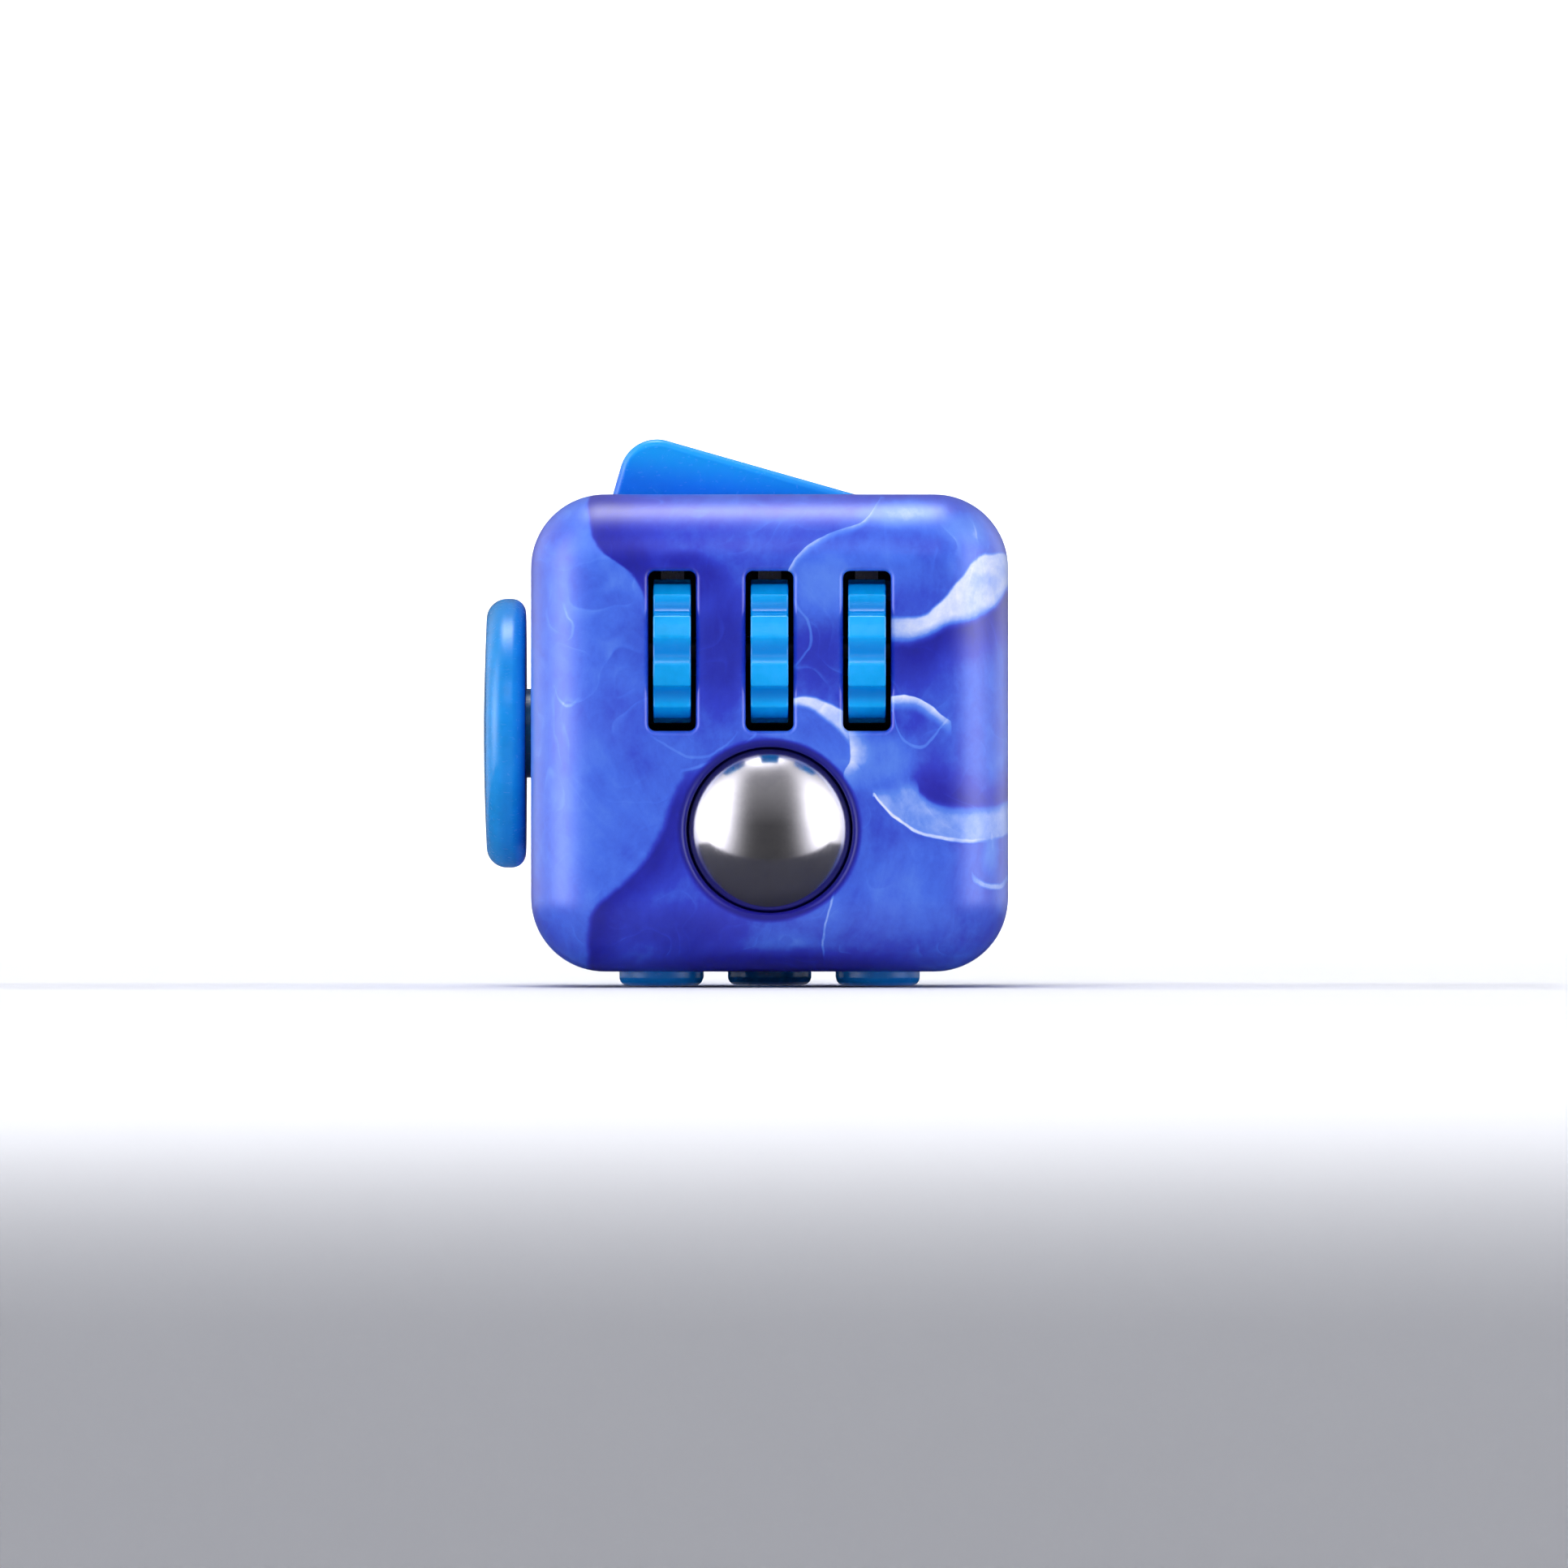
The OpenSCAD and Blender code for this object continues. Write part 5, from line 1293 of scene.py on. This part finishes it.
def dark_plastic(name, base, shift):
    """Matt moulded plastic for the inner parts, with a spark-eroded grain."""
    g = Graph(name)
    P = g.vmath("ADD", g.P, shift)
    patch = g.noise(P, 0.35, 3.0, 0.6)
    grain = g.noise(P, 6.0, 3.0, 0.6)
    wear = g.smooth(g.noise(P, 1.3, 4.0, 0.65), 0.58, 0.72)
    t = g.linear(patch, 0.3, 0.7) * 0.7 + g.linear(grain, 0.3, 0.7) * 0.3
    colour = g.ramp(t, [(0.0, tuple(c * 0.7 for c in base)), (0.6, base), (1.0, tuple(min(1, c * 1.35 + 0.01) for c in base))])
    colour = g.mixc(wear * 0.35, colour, (*[min(1, c * 1.8 + 0.03) for c in base], 1))
    r = g.linear(grain, 0.3, 0.7, 0.46, 0.62) + wear * -0.06
    return g.finish(colour, r, g.bump(grain, 0.35, 0.02), Specular_IOR_Level=0.45)


def metal(name, base, shift, rough, brushed=(1, 1, 1), dull=None, polish=0.0):
    """Steel and plating: brushed grain, faint stains and small variations in polish."""
    g = Graph(name)
    P = g.vmath("ADD", g.P, shift)
    grain = g.noise(g.vmath("MULTIPLY", P, brushed), 5.0, 3.0, 0.6)
    cloud = g.noise(P, 0.45, 3.0, 0.55)
    stain = g.smooth(g.noise(P, 1.1, 4.0, 0.6), 0.55, 0.72)
    dull = dull or tuple(c * 0.82 for c in base)
    t = g.linear(cloud, 0.3, 0.7) * (0.5 + polish) + g.linear(grain, 0.3, 0.7) * (0.5 - polish)
    colour = g.ramp(t, [(0.0, dull), (0.55, base), (1.0, tuple(min(1, c * 1.06) for c in base))])
    r = g.linear(grain, 0.3, 0.7, rough * 0.85, rough * 1.2) + stain * (0.05 if polish < 0.3 else 0.015)
    return g.finish(colour, r, g.bump(grain, 0.25 if polish < 0.3 else 0.03, 0.01), Metallic=1.0)


AZURE = (0.0, 0.300, 0.905)
M_FRONT = front_material()
M_SIDE = shell_material("marbled_sleeve", (23.0, 4.0, 51.0))
M_BACK = shell_material("marbled_back", (5.0, 71.0, 12.0))
M_GEAR = azure_material("azure_gears", (0.0, 0.37, 0.86), (2, 8, 5), 0.13, shade="gear")
M_ROCK = azure_material("azure_rocker", (0.0, 0.270, 0.86), (12, 3, 9), 0.24, shade="rocker")
M_DIAL = azure_material("azure_dial", (0.0, 0.275, 0.73), (7, 31, 2), 0.22)
M_STICK = azure_material("azure_joystick", AZURE, (3, 5, 44), 0.22)
M_KEY = azure_material("azure_buttons", AZURE, (41, 17, 8), 0.22)
M_BALL = metal("polished_steel", (0.56, 0.55, 0.58), (1, 2, 3), 0.15, (1, 1, 1), (0.51, 0.50, 0.54), 0.4)
M_INNER = dark_plastic("inner_plastic_grained", (0.010, 0.012, 0.026), (9, 3, 6))
M_AXLE = metal("blackened_steel", (0.045, 0.045, 0.055), (8, 1, 6), 0.42, (0.2, 3, 3))
M_PIN = metal("ground_steel", (0.62, 0.62, 0.64), (4, 4, 4), 0.26, (0.2, 3, 3))
M_SCREW = metal("zinc_screws", (0.66, 0.66, 0.68), (7, 5, 9), 0.34, (1.6, 1.6, 1.6), (0.46, 0.47, 0.52))
M_SPRING = metal("spring_steel_wire", (0.50, 0.50, 0.53), (3, 7, 2), 0.30, (2.4, 2.4, 0.6), (0.33, 0.34, 0.38))

SPECIFIC = {front: M_FRONT, middle: M_SIDE, back: M_BACK, gears[0]: M_GEAR, gears[1]: M_GEAR, gears[2]: M_GEAR,
            rocker: M_ROCK, ball: M_BALL, dial: M_DIAL, stick_cap: M_STICK, stick_stem: M_STICK}
for o, body, stands_for, slot in PIECES:
    o.data.materials.clear()
    o.data.materials.append(SPECIFIC.get(o, M_KEY))
    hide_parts(*stands_for)
    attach(o, body)

SLOT_OF = {"inner_plastic": M_INNER, "steel_pins": M_PIN, "screws": M_SCREW, "spring_steel": M_SPRING,
           "control_plastic": M_KEY, "marbled_shell": M_SIDE, "polished_ball": M_BALL}
for part in frame["record"]["subparts"]:
    n = part.get("node") or part.get("name")
    NODES[n].data.materials.clear()
    NODES[n].data.materials.append(M_AXLE if n == "gear_axle" else SLOT_OF[part["material_slot"]])

# ------------------------------------------------------------------ studio
scene = bpy.context.scene
scene.view_settings.view_transform = "Standard"
scene.view_settings.look = "None"
scene.view_settings.exposure = 0.0
scene.view_settings.gamma = 1.0


def stage_mesh(name, verts, faces, mat):
    m = bpy.data.meshes.new(name)
    m.from_pydata(verts, [], faces)
    m.update()
    o = bpy.data.objects.new(name, m)
    scene.collection.objects.link(o)
    o.data.materials.append(mat)
    return o


def plain(name, colour, rough, emit=0.0):
    g = Graph(name)
    n = g.noise(g.P, 0.02, 2.0)
    c = g.ramp(n, [(0.3, tuple(k * 0.99 for k in colour)), (0.7, colour)])
    m = g.finish(c, rough)
    if emit:
        p = next(k for k in m.node_tree.nodes if k.type == "BSDF_PRINCIPLED")
        p.inputs["Emission Color"].default_value = (*colour, 1)
        p.inputs["Emission Strength"].default_value = emit
    return m


# seamless sweep: floor, curve, wall
FLOOR = -0.0001
prof = [(-3.2, FLOOR), (2.40, FLOOR)]
for k in np.radians(np.linspace(0, 90, 25)):
    prof.append((2.40 + 0.5 * math.sin(k), FLOOR + 0.5 * (1 - math.cos(k))))
prof.append((2.90, 2.6))
vs, fs = [], []
for i, (py, pz) in enumerate(prof):
    vs += [(-3.2, py, pz), (3.2, py, pz)]
    if i:
        fs.append((2 * i - 2, 2 * i - 1, 2 * i + 1, 2 * i))
sweep = stage_mesh("studio_sweep", vs, fs, plain("studio_white", (0.93, 0.94, 0.97), 0.7))
for p in sweep.data.polygons:
    p.use_smooth = True

world = bpy.data.worlds.new("studio_air")
scene.world = world
world.use_nodes = True
wn = world.node_tree
wn.nodes.clear()
air = wn.nodes.new("ShaderNodeBackground")
air.inputs[0].default_value = (0.90, 0.92, 1.0, 1)
air.inputs[1].default_value = 0.25
# what shiny parts mirror: a dark room with tall soft lights at the sides and one overhead


def wmath(op, a, b=0.0):
    n = wn.nodes.new("ShaderNodeMath")
    n.operation = op
    for k, v in enumerate((a, b)):
        if isinstance(v, (int, float)):
            n.inputs[k].default_value = v
        else:
            wn.links.new(v, n.inputs[k])
    return n.outputs[0]


tc = wn.nodes.new("ShaderNodeTexCoord")
sp = wn.nodes.new("ShaderNodeSeparateXYZ")
wn.links.new(tc.outputs["Generated"], sp.inputs[0])
az = wmath("ARCTAN2", sp.outputs["X"], wmath("MULTIPLY", sp.outputs["Y"], -1.0))
el = wmath("ARCSINE", sp.outputs["Z"])
total = None


def lobe(a0, e0, sa, se, power):
    """A soft light in the mirrored room: bearing from the front, height, widths in degrees, brightness."""
    global total
    d = wmath("ABSOLUTE", wmath("SUBTRACT", az, math.radians(a0)))
    d = wmath("MINIMUM", d, wmath("SUBTRACT", 2 * math.pi, d))
    d = wmath("MULTIPLY", d, 1 / math.radians(sa))
    e = wmath("MULTIPLY", wmath("SUBTRACT", el, math.radians(e0)), 1 / math.radians(se))
    q = wmath("ADD", wmath("MULTIPLY", d, d), wmath("MULTIPLY", e, e))
    v = wmath("MULTIPLY", wmath("EXPONENT", wmath("MULTIPLY", q, -0.5)), power)
    total = v if total is None else wmath("ADD", total, v)


def overhead(direction, k, power):
    global total
    n = math.sqrt(sum(c * c for c in direction))
    dot = None
    for c, out in zip(direction, (sp.outputs["X"], sp.outputs["Y"], sp.outputs["Z"])):
        t = wmath("MULTIPLY", out, c / n)
        dot = t if dot is None else wmath("ADD", dot, t)
    v = wmath("MULTIPLY", wmath("EXPONENT", wmath("MULTIPLY", wmath("SUBTRACT", dot, 1.0), k)), power)
    total = wmath("ADD", total, v)


lobe(-68, 12, 16, 26, 4.6)
lobe(66, 12, 16, 26, 4.0)
lobe(-122, 12, 18, 26, 1.3)
lobe(122, 12, 18, 26, 1.3)
overhead((-0.06, 0.13, 1.0), 36.0, 7.5)
up = wmath("MAXIMUM", wmath("SUBTRACT", el, 0.10), 0.0)
total = wmath("ADD", total, wmath("MULTIPLY", up, 0.34))
total = wmath("ADD", total, 0.095)
tint = wn.nodes.new("ShaderNodeVectorMath")
tint.operation = "SCALE"
tint.inputs[0].default_value = (0.99, 0.98, 1.03)
wn.links.new(total, tint.inputs["Scale"])
mirror = wn.nodes.new("ShaderNodeBackground")
wn.links.new(tint.outputs[0], mirror.inputs[0])
mirror.inputs[1].default_value = 1.0
lp = wn.nodes.new("ShaderNodeLightPath")
mx = wn.nodes.new("ShaderNodeMixShader")
wo = wn.nodes.new("ShaderNodeOutputWorld")
wn.links.new(lp.outputs["Is Glossy Ray"], mx.inputs[0])
wn.links.new(air.outputs[0], mx.inputs[1])
wn.links.new(mirror.outputs[0], mx.inputs[2])
wn.links.new(mx.outputs[0], wo.inputs[0])
sweep.visible_glossy = False


def softbox(name, at, look, sx, sy, power, colour=(1, 1, 1), edge=0.35, glossy=True):
    """An area light whose brightness fades towards its border."""
    l = bpy.data.lights.new(name, "AREA")
    l.shape = "RECTANGLE"
    l.size, l.size_y = sx, sy
    l.energy = power
    l.color = colour
    l.use_nodes = True
    nt = l.node_tree
    nt.nodes.clear()
    geo = nt.nodes.new("ShaderNodeNewGeometry")
    sep = nt.nodes.new("ShaderNodeSeparateXYZ")
    nt.links.new(geo.outputs["Parametric"], sep.inputs[0])
    facs = []
    for i in (0, 1):
        a = nt.nodes.new("ShaderNodeMath")
        a.operation = "SUBTRACT"
        nt.links.new(sep.outputs[i], a.inputs[0])
        a.inputs[1].default_value = 0.5
        b = nt.nodes.new("ShaderNodeMath")
        b.operation = "ABSOLUTE"
        nt.links.new(a.outputs[0], b.inputs[0])
        r = nt.nodes.new("ShaderNodeMapRange")
        r.interpolation_type = "SMOOTHSTEP"
        nt.links.new(b.outputs[0], r.inputs["Value"])
        r.inputs["From Min"].default_value = 0.5 - edge
        r.inputs["From Max"].default_value = 0.5
        r.inputs["To Min"].default_value = 1.0
        r.inputs["To Max"].default_value = 0.0
        facs.append(r)
    m = nt.nodes.new("ShaderNodeMath")
    m.operation = "MULTIPLY"
    nt.links.new(facs[0].outputs[0], m.inputs[0])
    nt.links.new(facs[1].outputs[0], m.inputs[1])
    e = nt.nodes.new("ShaderNodeEmission")
    nt.links.new(m.outputs[0], e.inputs["Strength"])
    o = nt.nodes.new("ShaderNodeOutputLight")
    nt.links.new(e.outputs[0], o.inputs[0])
    ob = bpy.data.objects.new(name, l)
    ob.location = at
    d = Vector(look) - Vector(at)
    ob.rotation_euler = d.to_track_quat("-Z", "Y").to_euler()
    ob.visible_glossy = glossy
    ob.visible_camera = False
    scene.collection.objects.link(ob)
    return ob


MID = (0, 0, 0.0175)
softbox("left_box", (-0.62, -0.27, 0.10), MID, 0.50, 0.60, 5.0, (1.0, 0.99, 1.0), 0.5, glossy=False)
softbox("right_box", (0.58, -0.34, 0.10), MID, 0.46, 0.60, 4.0, (1.0, 0.99, 1.0), 0.5, glossy=False)
softbox("top_box", (-0.08, -0.05, 0.70), MID, 0.50, 0.40, 7.0, (1.0, 0.99, 1.0), 0.5, glossy=False)
softbox("front_fill", (-0.12, -0.82, 0.60), MID, 0.7, 0.5, 11.6, (0.98, 0.98, 1.0), 0.4, glossy=False)
softbox("back_wall_wash", (0.0, 1.3, 1.5), (0, 2.6, 0.2), 2.6, 0.9, 150.0, (0.98, 0.99, 1.0), 0.3, glossy=False)

# a black flag on the table in front, seen only in reflections
flag = stage_mesh("black_flag", [(-0.055, -0.031, 0.0002), (0.055, -0.031, 0.0002), (0.055, 0.03, 0.0002), (-0.055, 0.03, 0.0002)], [(0, 1, 2, 3)], plain("flag_black", (0.085, 0.085, 0.10), 1.0))
flag.visible_camera = False
flag.visible_shadow = False
flag.visible_diffuse = False

# ------------------------------------------------------------------ camera
cam = bpy.data.cameras.new("photo_view")
camera = bpy.data.objects.new("photo_view", cam)
scene.collection.objects.link(camera)
DIST = 2.0
cam.sensor_width = 36.0
face_y = -(SEAM) * 0.001
cam.lens = 36.0 * (DIST) / 0.1084
camera.location = (0.0010, face_y - DIST, 0.01397)
camera.rotation_euler = (math.radians(90), 0, 0)
cam.clip_start = 0.01
cam.clip_end = 10
scene.camera = camera

import json
bpy.context.view_layer.update()
